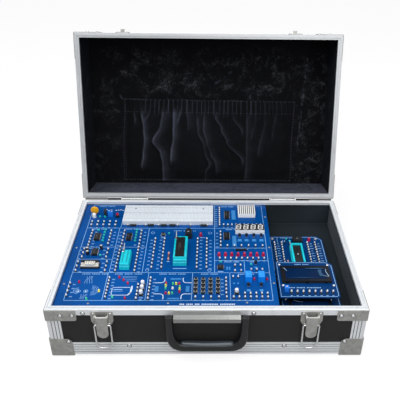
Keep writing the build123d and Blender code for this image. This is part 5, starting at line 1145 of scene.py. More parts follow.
class TRAINER_OT_small_parts(bpy.types.Operator):
    """Transistors, capacitors, resistor, sensors and the other small parts of the main board"""

    bl_idname = "trainer.small_parts"
    bl_label = "Small parts"

    def execute(self, context):
        shape = Shape(["moulding", "teal", "tin", "resistor", "amber", "white", "trimmer", "red"])
        for x, y in TRANSISTORS:
            self.transistor(shape, x, y)
        for x, y in CAPACITORS:
            self.capacitor(shape, x, y)
        for x, y in CANS:
            self.can(shape, x, y)
        self.resistor(shape, -66.0, -17.5)
        self.sensors(shape)
        shape.object("small_parts", "base", 40, ["discrete_parts"])
        return {"FINISHED"}

    def leads(self, shape, x, y, offsets, top, radius):
        for offset in offsets:
            shape.rod([(x + offset, y, BOARD_TOP), (x + offset, y, top)], radius, 6, "tin")

    def transistor(self, shape, x, y):
        z = BOARD_TOP + 3.0
        arc = [(x + 2.4 * math.cos(a), y + 2.4 * math.sin(a)) for a in (math.pi * k / 8 for k in range(9))]
        outline = arc + [(x - 2.4, y - 1.2), (x + 2.4, y - 1.2)]
        shape.prism(outline, z, z + 4.8, "moulding", 0.25)
        self.leads(shape, x, y, (-1.4, 0, 1.4), z + 0.3, 0.28)

    def capacitor(self, shape, x, y):
        lens = [(0.0, -1.25), (1.5, -1.15), (2.0, -0.6), (2.1, 0), (2.0, 0.6), (1.5, 1.15), (0.0, 1.25)]
        shape.lathe((x, y, BOARD_TOP + 2.7), lens, 14, "teal", "Y")
        self.leads(shape, x, y, (-1.2, 1.2), BOARD_TOP + 1.8, 0.25)

    def can(self, shape, x, y):
        sleeve = [(2.35, 0), (2.55, 0.3), (2.55, 1.0), (2.35, 1.3), (2.55, 1.7), (2.55, 7.6), (2.3, 7.9)]
        shape.lathe((x, y, BOARD_TOP), sleeve, 18, "moulding")
        shape.lathe((x, y, BOARD_TOP + 7.85), [(2.2, 0), (2.2, 0.12)], 18, "tin")
        shape.block(x - 2.6, x - 1.9, y - 0.5, y + 0.5, BOARD_TOP + 1.9, BOARD_TOP + 7.4, "white")

    def resistor(self, shape, x, y):
        profile = [(0.4, -10), (1.5, -9.6), (1.85, -8.4), (1.7, -6.6), (1.35, -5.6), (1.35, 5.6), (1.7, 6.6),
                   (1.85, 8.4), (1.5, 9.6), (0.4, 10)]
        shape.lathe((x, y, BOARD_TOP + 1.9), profile, 16, "resistor", "Y")
        for offset, finish in ((-3.8, "moulding"), (-1.4, "moulding"), (0.8, "moulding"), (3.0, "red")):
            shape.lathe((x, y + offset, BOARD_TOP + 1.9), [(1.42, -0.8), (1.42, 0.8)], 16, finish, "Y")
        for side in (-1, 1):
            shape.rod([(x, y + side * 9.8, BOARD_TOP + 1.9), (x, y + side * 11.6, BOARD_TOP + 1.9),
                       (x, y + side * 12.2, BOARD_TOP)], 0.32, 6, "tin")

    def sensors(self, shape):
        # Orange disc on edge, on two leads
        rim = [(0, -2.0), (5.6, -2.0), (7.0, -1.4), (7.5, -0.4), (7.5, 0.4), (7.0, 1.4), (5.6, 2.0), (0, 2.0)]
        shape.lathe((-211, 111, BOARD_TOP + 8.5), rim, 28, "amber", "Y")
        self.leads(shape, -211, 111, (-2.5, 2.5), BOARD_TOP + 3, 0.4)
        # White pyroelectric cap and red-capped round sensor
        shape.lathe((-210.5, 100.5, BOARD_TOP), [(3.7, 0), (3.7, 5.6), (3.3, 7.2), (2.2, 8.3), (0, 8.7)], 20, "white")
        shape.lathe((-168, 101, BOARD_TOP), [(3.3, 0), (3.3, 4.6), (2.6, 5.0)], 20, "moulding")
        shape.lathe((-168, 101, BOARD_TOP + 4.9), [(2.6, 0), (2.6, 2.4), (1.9, 3.6), (0, 4.1)], 20, "red")
        # Leaning black sensor: a domed can lying back on its leads
        lean = Vector((0, 0.447, 0.894))
        foot = Vector((-191.5, 106.0, BOARD_TOP))
        sensor = Shape(["moulding"])
        sensor.lathe((0, 0, 0), [(2.3, 0.2), (2.5, 0.6), (2.5, 10.6), (2.0, 12.2), (0.9, 12.9), (0, 13.0)], 18)
        turn = Matrix.Translation(foot) @ lean.to_track_quat("Z", "Y").to_matrix().to_4x4()
        sensor.object("leaning_sensor", "base", 40, place=turn)
        # Trimmer, with its screw
        shape.block(-185.5, -176.5, 101.5, 107.0, BOARD_TOP, BOARD_TOP + 10.0, "trimmer", 0.3)
        shape.lathe((-178.6, 104.2, BOARD_TOP + 9.9), [(1.3, 0), (1.3, 0.7)], 14, "tin")
        # Resistor network under the row of lamps
        shape.block(47, 66, -1.2, 1.2, BOARD_TOP + 0.4, BOARD_TOP + 3.4, "moulding", 0.3)
        for i in range(7):
            x = 48.5 + i * PITCH
            shape.block(x - 0.3, x + 0.3, -0.3, 0.3, BOARD_TOP, BOARD_TOP + 0.5, "tin")


class TRAINER_OT_connectors(bpy.types.Operator):
    """Power jack and serial connector of the main board"""

    bl_idname = "trainer.connectors"
    bl_label = "Connectors"

    def execute(self, context):
        shape = Shape(["moulding", "shell", "cream", "tin"])
        # Jack: a rounded barrel on a block, with its mouth and centre pin at the back
        x, z = -34.75, BOARD_TOP + 6.2
        shape.block(-40.9, -28.6, 33.2, 46.8, BOARD_TOP, BOARD_TOP + 7.2, "moulding", 0.4)
        barrel = [(5.8, -8.4), (6.1, -8.0), (6.1, 6.8), (5.7, 7.2), (5.7, 7.7), (3.6, 7.7), (3.6, 1.0), (1.0, 1.0)]
        shape.lathe((x, 42.0, z), barrel + [(1.0, 6.8), (0, 7.1)], 24, "moulding", "Y")
        # A thin tin strip on the barrel's top: a painted glint
        shape.block(-37.2, -33.4, 38.0, 39.6, BOARD_TOP + 12.1, BOARD_TOP + 12.4, "tin", 0.12)
        # Serial connector: flange, D-shaped shell, its black insert with contacts, and two screw posts
        shape.block(-207.5, -176.5, -50.0, -37.5, BOARD_TOP, BOARD_TOP + 3.4, "moulding", 0.4)
        shape.block(-206.6, -177.4, -48.9, -38.4, BOARD_TOP + 3.4, BOARD_TOP + 5.0, "shell", 0.2)
        mid_x, mid_y = -192.0, -43.75
        low, high = BOARD_TOP + 5.0, BOARD_TOP + 8.2
        shape.block(-206.8, -177.2, -39.6, -37.4, BOARD_TOP + 3.4, BOARD_TOP + 8.6, "moulding", 0.3)

        def shell(reach):
            rounded = []
            for cx, cy, start in ((7.4 + reach, 3.2 + reach, 0), (-7.4 - reach, 3.2 + reach, 90),
                                  (-6.2 - reach, -3.2 - reach, 180), (6.2 + reach, -3.2 - reach, 270)):
                for step in range(5):
                    angle = math.radians(start + step * 22.5)
                    rounded.append((mid_x + cx + math.cos(angle), mid_y + cy + math.sin(angle)))
            return rounded

        shape.prism(shell(0.2), low, high, "shell", 0.2)
        shape.prism(shell(-0.7), high, high + 0.12, "cream")
        for row, count in ((1.5, 5), (-1.5, 4)):
            for i in range(count):
                px = mid_x + (i - (count - 1) / 2) * 2.9
                shape.block(px - 0.6, px + 0.6, mid_y + row - 1.1, mid_y + row + 1.1, high + 0.1, high + 0.2,
                            "moulding")
        for px in (-204.3, -179.7):
            shape.lathe((px, mid_y, low), [(2.5, 0), (2.5, 2.2), (1.5, 2.4), (1.5, 0.8), (0, 0.8)], 6, "tin")
        shape.object("connectors", "base", 35, ["board_connectors"])
        return {"FINISHED"}


class TRAINER_OT_switches(bpy.types.Operator):
    """Metal plates on the switch bodies, and the buttons' caps"""

    bl_idname = "trainer.switches"
    bl_label = "Switches"

    def execute(self, context):
        places = KEYS + [RESET] + list(CAPPED.values())
        top = top_of("switch_bodies")
        studs = [((x + dx, y + dy, top), (0.55, 0.55, 0.25))
                 for x, y in places for dx in (-2.4, 2.4) for dy in (-2.4, 2.4)]
        repeat("switch_studs", "Domes", studs, "moulding", "base", "black_moulding")
        plates = [((x, y, top - 0.05), (5.7, 5.7, 0.18)) for x, y in places]
        repeat("switch_plates", "Bars", plates, "zinc", "base", "contact_metal")
        leads = [((x + dx, y + dy, BOARD_TOP), (0.7, 0.9, 1.4))
                 for x, y in places for dx in (-3.3, 3.3) for dy in (-2.2, 2.2)]
        repeat("switch_leads", "Bars", leads, "tin", "base", "contact_metal")
        for name, (x, y) in CAPPED.items():
            *_, low, high = box(name)
            shape = Shape(["white"])
            profile = [(1.6, low), (1.6, top + 0.75), (2.6, top + 0.75), (2.9, top + 1.1), (2.9, high - 1.5),
                       (2.7, high - 0.6), (2.1, high - 0.1), (0, high)]
            shape.lathe((x, y, 0), profile, 24, "white")
            shape.object(name + "_cap", name, 40, [name])
        return {"FINISHED"}


class TRAINER_OT_rivets(bpy.types.Operator):
    """Rivets of the case and the lid"""

    bl_idname = "trainer.rivets"
    bl_label = "Rivets"

    def execute(self, context):
        head = context.scene.trainer_print.rivet / MM
        lower = self.fittings(head, -1, UNDERSIDE)
        lower += [((x, FRONT, UNDERSIDE + z), (head, head, 1.3), TO_FRONT)
                  for x, z in ((-120.0, 19.5), (119.0, 19.5), (-184.0, 87.0), (69.0, 87.0))]
        upper = self.fittings(head, 1, LID_TOP)
        self.heads("case_rivets", "base", lower, ["base_rivets"])
        self.heads("lid_rivets", "lid", upper)
        # Painted shadow: a dark ring round each rivet's head
        for body, spots in (("base", lower), ("lid", upper)):
            rings = [(point, (head + 0.9, head + 0.9, 0.14), turn) for point, _, turn in spots]
            repeat(f"{body}_rivet_shadow_rings", "Domes", rings, "groove", body, "rivet_metal")
        # Latch plates, handle bracket, catches and hinges: where on the face, its plane, the heads' radius
        plates = [(x + dx, z) for x in LATCHES for dx, z in ((-12.6, 90.5), (12.6, 90.5), (-9.5, 70.0), (9.5, 70.0))]
        plates += [(x, 79.3) for x in (-34, -12, 12, 34)]
        catches = [(x + dx, 116.0 + dz) for x in LATCHES for dx in (-8.6, 8.6) for dz in (-4.5, 4.5)]
        hinges = [x + dx for x in HINGES for dx in (-18, 0, 18)]
        for name, body, face, plane, radius, turn in (
            ("plate_rivets", "base", plates, FRONT - 1.2, 1.9, TO_FRONT),
            ("catch_rivets", "lid", catches, FRONT - 1.2, 1.8, TO_FRONT),
            ("hinge_rivets", "base", [(x, PARTING - 14.0) for x in hinges], 1.3 - FRONT, 2.0, TO_BACK),
            ("lid_hinge_rivets", "lid", [(x, PARTING + 14.0) for x in hinges], 1.3 - FRONT, 2.0, TO_BACK),
        ):
            self.heads(name, body, [((x, plane, z), (radius, radius, 1.1), turn) for x, z in face])
        return {"FINISHED"}

    def heads(self, name, body, places, replaces=()):
        repeat(name, "Domes", places, "chrome", body, "rivet_metal", replaces, smooth=50)

    def fittings(self, head, side, plane):
        """Heads through the corner caps and brackets of one half: side is -1 below the parting plane."""
        cap = plane - side * (35 - 5.5)
        bracket = PARTING + side * 11.5
        made = []
        for out, half, turn in (((0, -1), HALF_WIDTH, TO_FRONT), ((1, 0), HALF_DEPTH, TO_RIGHT),
                                ((0, 1), HALF_WIDTH, TO_BACK), ((-1, 0), HALF_DEPTH, TO_LEFT)):
            face = (HALF_DEPTH if out[1] else HALF_WIDTH) + 1.2
            for hand in (-1, 1):
                for along, z in ((half - 28.5, cap), (half - 22.5, bracket), (half - 40.0, bracket)):
                    point = (hand * along, out[1] * face, z) if out[1] else (out[0] * face, hand * along, z)
                    made.append((point, (head, head, 1.3), turn))
        return made


def ease(part):
    """From 0 to 1, level at both ends."""
    return part * part * (3 - 2 * part)


def unit(value):
    return min(1.0, max(0.0, value))


def bell(value):
    return math.exp(-value ** 2)


def wander(x, y, z):
    """Smooth noise at a point."""
    return noise.noise(Vector((x, y, z)))


def net(bm, points, columns, rows):
    """Four-cornered faces over rows of points."""
    grid = [bm.verts.new(point) for point in points]
    return [bm.faces.new((grid[a], grid[a + 1], grid[a + columns + 2], grid[a + columns + 1]))
            for j in range(rows) for a in range(j * (columns + 1), j * (columns + 1) + columns)]


def cloth(name, bm, carried, finish, angle, thickness, replaces):
    """A cloth of the lid from its net, with what each of its points carries."""
    mesh = bpy.data.meshes.new(name)
    bm.to_mesh(mesh)
    bm.free()
    for label, values in carried.items():
        mesh.attributes.new(label, "FLOAT", "POINT").data.foreach_set("value", values)
    mesh.materials.append(FINISH[finish])
    piece = seat(bpy.data.objects.new(name, mesh), "lid", angle, replaces)
    wall = piece.modifiers.new("cloth", "SOLIDIFY")
    wall.thickness = thickness
    wall.offset = -1
    return piece


class TRAINER_OT_velvet(bpy.types.Operator):
    """Line the lid with crushed velvet, glued to its five boards"""

    bl_idname = "trainer.velvet"
    bl_label = "Lid lining"

    def execute(self, context):
        settings = context.scene.trainer_cloth
        wide, deep, top, low = 232.2, 143.7, 184.7, 101.2
        across, back, up = Vector((2 * wide, 0, 0)), Vector((0, 2 * deep, 0)), Vector((0, 0, top - low))
        # Each panel: a corner, its two edges, the way it faces and, for a wall, the strength of its painted sheen
        panels = (
            ((-wide, -deep, top), across, back, (0, 0, -1), None),
            ((-wide, -deep, low), across, up, (0, 1, 0), 0.13),
            ((-wide, deep, low), across, up, (0, -1, 0), 0.86),
            ((-wide, -deep, low), back, up, (1, 0, 0), 0.13),
            ((wide, -deep, low), back, up, (-1, 0, 0), 0.13),
        )
        bm = bmesh.new()
        painted_sheens, naps = [], []
        for corner, one, other, inward, wall_sheen in panels:
            corner, inward = Vector(corner), Vector(inward)
            cell = 3.6 if wall_sheen else 2.4
            columns, rows = (max(int(edge.length / cell), 2) for edge in (one, other))
            points = []
            for j in range(rows + 1):
                for i in range(columns + 1):
                    u, v = i / columns, j / rows
                    point = corner + one * u + other * v
                    fade = min(1.0, 40 * min(u, 1 - u, v, 1 - v) * 0.35)
                    height = self.crush(point) * settings.crush / MM
                    crease = 0.0 if wall_sheen else self.crease(point)
                    points.append(point + inward * (height + 1.7 * crease) * fade)
                    # Painted sheen: on a wall by its strength, fading at the wall's foot; on the ceiling along the
                    # creases
                    if wall_sheen:
                        rim = min(1.0, (point.z - low) / 6.0)
                        uneven = 1.0 + 0.5 * noise.noise(point / 9.0) + 0.3 * noise.noise(point / 40.0)
                        painted_sheens.append(wall_sheen * rim * uneven)
                        naps.append(0.4)
                    else:
                        broken = max(0.0, 0.45 + 2.2 * noise.noise(point / 7.0))
                        painted_sheens.append(min(1.0, 0.85 * min(1.0, crease) ** 2 * broken))
                        naps.append(self.nap(point))
            for face in net(bm, points, columns, rows):
                face.normal_update()
                if face.normal.dot(inward) < 0:
                    face.normal_flip()
        bm.transform(to_frame(LID_PLACE))
        carried = {"painted_sheen": painted_sheens, "nap": naps}
        piece = cloth("velvet_lining", bm, carried, "velvet", 60, settings.velvet, ["lid_lining"])
        return {"FINISHED"}

    def crush(self, point):
        """Relief of the pressed pile, from 0 to about 1."""
        return 0.5 + 0.35 * noise.noise(point / 46.0) + 0.3 * noise.noise(point / 13.0 + Vector((7, 3, 1)))

    def crease(self, point):
        """The long crease beside the pocket, and the short ones above it and at its right."""
        made = 0.0
        for (x0, y0), (x1, y1), width, height in (
            ((191.5, -107.4), (189.5, -86), 1.3, 0.8), ((189.5, -86), (180.6, 38.0), 1.6, 1.2),
            ((180.6, 38), (178.5, 78), 1.5, 0.8), ((83, -60), (81, -30), 1.7, 1.1),
            ((101, -85), (131, -84), 1.2, 0.5), ((46, -40), (60, -54), 1.5, 0.8), ((62, -41), (80, -52), 1.5, 0.7),
            ((2, -52), (24, -66), 1.8, 0.8), ((28, -70), (44, -82), 1.8, 0.7), ((-80, -42), (-66, -32), 1.5, 0.6),
            ((-40, -46), (-28, -56), 1.4, 0.6), ((-176, -34), (-172, -27), 1.4, 0.8), ((182, 44), (196, 66), 1.6, 0.5),
            ((196, 84), (214, 96), 1.8, 0.6), ((208, 112), (196, 124), 1.8, 0.6), ((174, 108), (186, 96), 1.6, 0.5),
        ):
            run = Vector((x1 - x0, y1 - y0))
            there = Vector((point.x - x0, point.y - y0))
            away = (there - run * unit(there.dot(run) / run.length_squared)).length
            made += height * math.exp(-(away / width) ** 1.6)
        return made

    def nap(self, point):
        """Where the pile is crushed: patches above the pocket and to its right, fading to the edges."""
        made = 0.14
        for x, y, wide, deep, strength in (
            (-150, -85, 62, 52, 0.42), (-115, -50, 44, 34, 0.36), (-20, -66, 44, 34, 0.55), (100, -78, 84, 50, 0.42),
            (112, -44, 44, 24, 0.45), (214, -60, 26, 60, 0.50), (206, 60, 28, 80, 0.60), (196, 108, 36, 34, 0.70),
            (40, -38, 40, 18, 0.50), (-206, 60, 20, 70, 0.16), (-206, -20, 24, 40, 0.15),
        ):
            made += strength * math.exp(-((point.x - x) / wide) ** 2 - ((point.y - y) / deep) ** 2)
        top = unit((point.y + 138) / 26)
        ruffled = 1.6 + 0.9 * noise.noise(point / 21.0) + 1.7 * noise.noise(point / 8.0)
        return min(1.0, made * top * max(0.0, ruffled))


class TRAINER_OT_pocket(bpy.types.Operator):
    """Sew the gathered pocket to the lid's lining"""

    bl_idname = "trainer.pocket"
    bl_label = "Lid pocket"

    # Long folds: points as parts of the width from the left and of the height from the mouth, then the fold's
    # height and its reach to the right in millimetres, and how much light its left flank catches
    folds = (
        (((0.060, 0.17), (0.066, 0.25)), 1.5, 5.0, 0.45),
        (((0.105, 0.17), (0.122, 0.35), (0.131, 0.50), (0.122, 0.68), (0.112, 0.80)), 4.6, 9.0, 0.95),
        (((0.143, 0.17), (0.122, 0.28)), 2.2, 5.0, 0.55),
        (((0.226, 0.17), (0.219, 0.31), (0.180, 0.50), (0.226, 0.65), (0.237, 0.78), (0.241, 1.0)), 5.4, 14.0, 0.85),
        (((0.292, 0.17), (0.295, 0.34), (0.299, 0.47), (0.288, 0.62), (0.284, 0.73)), 4.8, 11.0, 1.0),
        (((0.326, 0.17), (0.316, 0.26)), 2.4, 5.0, 0.65),
        (((0.374, 0.17), (0.380, 0.34)), 3.0, 14.0, 0.5),
        (((0.430, 0.22), (0.439, 0.37), (0.478, 0.56), (0.486, 0.65), (0.511, 0.79), (0.490, 0.88), (0.489, 1.0)),
         3.2, 8.0, 0.42),
        (((0.468, 0.19), (0.471, 0.34), (0.496, 0.52), (0.518, 0.65), (0.547, 0.77), (0.554, 0.87)), 4.0, 12.0, 0.45),
        (((0.536, 0.20), (0.576, 0.35), (0.612, 0.50), (0.705, 0.74)), 2.8, 8.0, 0.55),
        (((0.640, 0.20), (0.698, 0.38)), 1.6, 7.0, 0.28),
        (((0.720, 0.20), (0.727, 0.41), (0.730, 0.65), (0.727, 0.95)), 2.8, 14.0, 0.36),
        (((0.770, 0.22), (0.755, 0.44)), 1.6, 9.0, 0.25),
        (((0.827, 0.26), (0.798, 0.65)), 1.8, 10.0, 0.2),
        (((0.885, 0.20), (0.878, 0.41)), 1.0, 7.0, 0.2),
    )
    wide, tall = 342.0, 160  # in millimetres
    sewn = 0.152  # where the elastic's seam lies, as a part of the height
    gathers = 38

    def execute(self, context):
        columns, rows = 380, 84
        places = [(i / columns, j / rows) for j in range(rows + 1) for i in range(columns + 1)]
        bm = bmesh.new()
        net(bm, [self.point(*place) for place in places], columns, rows)
        bm.transform(to_frame(LID_PLACE))
        bm.normal_update()
        if sum(face.normal.y for face in bm.faces) > 0:
            bmesh.ops.reverse_faces(bm, faces=bm.faces)
        area = sum(face.calc_area() for face in bm.faces)
        thickness = context.scene.trainer_cloth.pocket
        carried = {"painted_sheen": [self.painted_sheen(*place) for place in places]}
        piece = cloth("gathered_pocket", bm, carried, "pocket", 75, thickness, ["lid_pocket"])
        self.stitches()
        return {"FINISHED"}

    def point(self, across, down):
        """A point of the pocket's face about the shut lid."""
        left = -168.7 + (-177.5 + 168.7) * down + 0.9 * math.sin(down * 9.0)
        right = 170.2 + (167.5 - 170.2) * down + 0.8 * math.sin(down * 8.0 + 1.0)
        mouth = -28.5 + 3.5 * across
        foot = 138.0 + 1.0 * across
        x = left + (right - left) * across
        y = mouth + (foot - mouth) * down
        return Vector((x, y, 184.2 - self.depth(across, down)))

    def depth(self, across, down):
        """How far the cloth stands off the lining."""
        sides = ease(min(1.0, 14 * min(across, 1 - across)))
        fullness = 0.62 + 0.38 * math.sin(math.pi * min(1.0, down * 1.15))
        foot = ease(min(1.0, (1 - down) / 0.16))
        stand = 8.4 * sides * fullness * (0.12 + 0.88 * foot)
        stand += 2.0 * self.pucker(across, down) * sides
        for fold in self.folds:
            stand += self.fold(across, down, *fold)[0] * foot
        stand -= 1.0 * bell((down - self.sewn) * self.tall / 1.3) * sides
        stand += 0.5 * wander(across * 16, down * 7, 5) * sides
        return max(0.5, stand)

    def pucker(self, across, down):
        """Close even gathers in the elastic's casing, dying out below its seam."""
        close = math.exp(-max(0.0, down - self.sewn) / 0.05)
        shift = 0.5 * wander(across * 17, 0.3, 2) + 0.35 * down / self.sewn * (0.5 - across)
        ridge = 0.5 + 0.5 * math.cos(2 * math.pi * (across * self.gathers + shift))
        spread = unit((across - 0.06) / 0.08) * min(1.0, max(0.25, (1.05 - across) / 0.3))
        return ridge ** 3.0 * close * spread

    def painted_sheen(self, across, down):
        """Painted sheen where the pile turns up to the light: a painted highlight on the left flank of each fold and
        gather and along the hems, and a faint broad sheen.
        """
        light = max(self.fold(across, down, *fold)[1] for fold in self.folds)
        light = max(light, 0.46 * self.pucker(across, down) ** 1.8 * (0.7 + 0.9 * wander(across * 40, 3, 1)))
        light += 0.36 * bell(down / 0.007) * (0.55 + 1.3 * wander(across * 7, 1, 4))
        light += 0.16 * bell((1 - down) / 0.008)
        light += 0.24 * bell(across / 0.004) * (1.2 - down) + 0.16 * bell((1 - across) / 0.004)
        light += 0.20 * bell((across - 0.016) / 0.003) * down
        broad = 0.06 * max(0.0, wander(across * 6, down * 3, 8) + 0.1) * (1 - down)
        return unit((light + broad) * (1.0 + 0.3 * wander(across * 110, down * 60, 1)))

    def fold(self, across, down, path, height, reach, light):
        """One fold, crisp on its left and falling away on its right: its height and the light on its flank."""
        start, end = path[0][1], path[-1][1]
        if down < start - 0.1 or down > end + 0.1:
            return 0.0, 0.0
        at = path[0][0] if down <= start else path[-1][0]
        for (x0, d0), (x1, d1) in zip(path, path[1:]):
            if d0 <= down <= d1:
                at = x0 + (x1 - x0) * ease((down - d0) / (d1 - d0))
        ends = unit((down - start + 0.1) / 0.1)
        if end < 1.0:
            ends *= unit((end + 0.1 - down) / 0.1)
        away = (across - at) * self.wide
        side = reach * (0.3 if away < 0 else 1.0)
        flank = 0.85 * bell((away + 0.2) / 1.6)
        if away > 0:
            flank += 0.38 * bell(away / (0.8 * reach))
        patchy = 0.8 + 1.0 * wander(at * 9, down * 5, 6)
        return height * ends * math.exp(-(abs(away) / side) ** 1.5), light * ends * ends * patchy * min(1.0, flank)

    def stitches(self):
        """Thread along the mouth, the elastic's seam, the sides and the foot."""
        places = []
        for down, count in ((0.012, 40), (self.sewn, 58), (0.988, 62)):
            for i in range(count):
                across = (i + 0.5) / count
                spot = self.point(across, down)
                ahead = self.point(min(1.0, across + 0.004), down)
                turn = math.atan2(spot.z - ahead.z, ahead.x - spot.x)
                places.append(((spot.x, spot.y, spot.z - 0.45), (1.9, 0.42, 0.4), (0, turn, 0)))
        for across in (0.006, 0.994):
            for j in range(30):
                spot = self.point(across, (j + 0.5) / 30)
                places.append(((spot.x, spot.y, spot.z - 0.45), (0.4, 1.9, 0.4), (0, 0, 0)))
        repeat("pocket_stitches", "Bars", places, "thread", "lid", "velvet")


class TRAINER_OT_handle(bpy.types.Operator):
    """Mould the carrying handle with its crowned grip and pivots"""

    bl_idname = "trainer.handle"
    bl_label = "Carrying handle"

    def execute(self, context):
        middle = -160.5
        # Along the handle: place, then half width across the bar and half thickness
        stations = [((-56.4, 91.8), 4.6, 3.6), ((-56.4, 90.6), 5.1, 4.2), ((-56.4, 84.0), 5.15, 4.4),
                    ((-56.3, 72.0), 5.2, 4.5), ((-55.6, 58.0), 5.6, 4.6), ((-54.4, 49.0), 6.2, 4.9),
                    ((-52.4, 42.0), 7.0, 5.3), ((-48.4, 36.4), 7.6, 5.8), ((-42.0, 32.4), 7.3, 6.2),
                    ((-33.0, 31.0), 6.7, 6.5), ((-20.0, 30.9), 6.5, 6.6), ((0.0, 30.9), 6.5, 6.6)]
        stations += [((-x, z), w, t) for (x, z), w, t in reversed(stations[:-1])]
        shape = Shape(["handle", "pad"])
        rings = []
        dense = self.smooth(stations, 6)
        for i, ((x, z), wide, thick) in enumerate(dense):
            (xa, za), (xb, zb) = dense[max(i - 1, 0)][0], dense[min(i + 1, len(dense) - 1)][0]
            along = Vector((xb - xa, 0, zb - za)).normalized()
            across = Vector((along.z, 0, -along.x))
            rings.append([
                shape.bm.verts.new(Vector((x, middle, z)) + across * (u * wide) + Vector((0, v * thick, 0)))
                for u, v in self.turn(28, 0.62)
            ])
        shape.skin(rings)
        # Raised pad along the grip, with a groove between it and the frame; its lighter blue-grey colour is a painted
        # highlight along the grip's top
        pad = [(-41.0, 1.2), (-39.0, 3.0), (-35.0, 4.1), (-28.0, 4.7), (-14.0, 5.1), (0.0, 5.2), (14.0, 5.1),
               (28.0, 4.7), (35.0, 4.1), (39.0, 3.0), (41.0, 1.2)]
        shape.skin([[shape.bm.verts.new((x, middle + 1.12 * half * u, 34.6 + 0.0016 * x * x + half * v))
                     for u, v in self.turn(20)] for x, half in pad], "pad")
        # Pivot bosses
        for x in (-56.4, 56.4):
            shape.lathe((x, middle, 88.0), [(3.4, -5.3), (3.4, 5.3)], 20, "handle", "X")
        shape.object("moulded_handle", "carry_handle", 42, ["carry_handle"])
        return {"FINISHED"}

    def turn(self, count, power=1.0):
        """Points round a circle, or round a squarer form where the power is less than 1."""
        angles = [2 * math.pi * k / count for k in range(count)]
        return [[math.copysign(abs(value) ** power, value) for value in (math.cos(a), math.sin(a))] for a in angles]

    def smooth(self, stations, steps):
        """The stations with Catmull-Rom points between them."""
        values = [(x, z, w, t) for (x, z), w, t in stations]
        made = []
        for i in range(len(values) - 1):
            p0, p1, p2, p3 = (values[max(0, min(len(values) - 1, i + k))] for k in (-1, 0, 1, 2))
            for step in range(steps):
                t = step / steps
                point = [0.5 * (2 * b + (c - a) * t + (2 * a - 5 * b + 4 * c - d) * t * t
                                + (3 * b - a - 3 * c + d) * t ** 3) for a, b, c, d in zip(p0, p1, p2, p3)]
                made.append(((point[0], point[1]), point[2], point[3]))
        made.append(stations[-1])
        return made


class TRAINER_OT_latches(bpy.types.Operator):
    """Round wire bails, and the pins of the latches' levers"""

    bl_idname = "trainer.latches"
    bl_label = "Latches"

    def execute(self, context):
        pivot = -157.0
        leg, bend, low = 12.0, 10.0, 24.0
        curve = [(2.0 + bend * math.sin(a), low + bend * (1 - math.cos(a)))
                 for a in (math.pi / 20 * k for k in range(11))]
        half = curve + [(leg, 60.0), (leg, 69.6), (11.2, 71.0), (6.2, 71.0)]
        for side, x in zip(("left", "right"), LATCHES):
            shape = Shape(["chrome"])
            path = [(x - px, pivot, z) for px, z in reversed(half)] + [(x + px, pivot, z) for px, z in half]
            shape.rod(path, 1.38, 12)
            shape.object(f"wire_bail_{side}", f"latch_bail_{side}", 50, [f"latch_bail_{side}"])
            # Ends of the lever's pin
            pin = Shape(["chrome"])
            pin.lathe((x - 8.7, pivot, 87.0), [(1.2, -0.7), (1.7, -0.3), (1.7, 0.5)], 14, axis="X")
            pin.lathe((x + 8.7, pivot, 87.0), [(1.7, -0.5), (1.7, 0.3), (1.2, 0.7)], 14, axis="X")
            pin.object(f"lever_pin_{side}", f"latch_lever_{side}", 40)
        return {"FINISHED"}


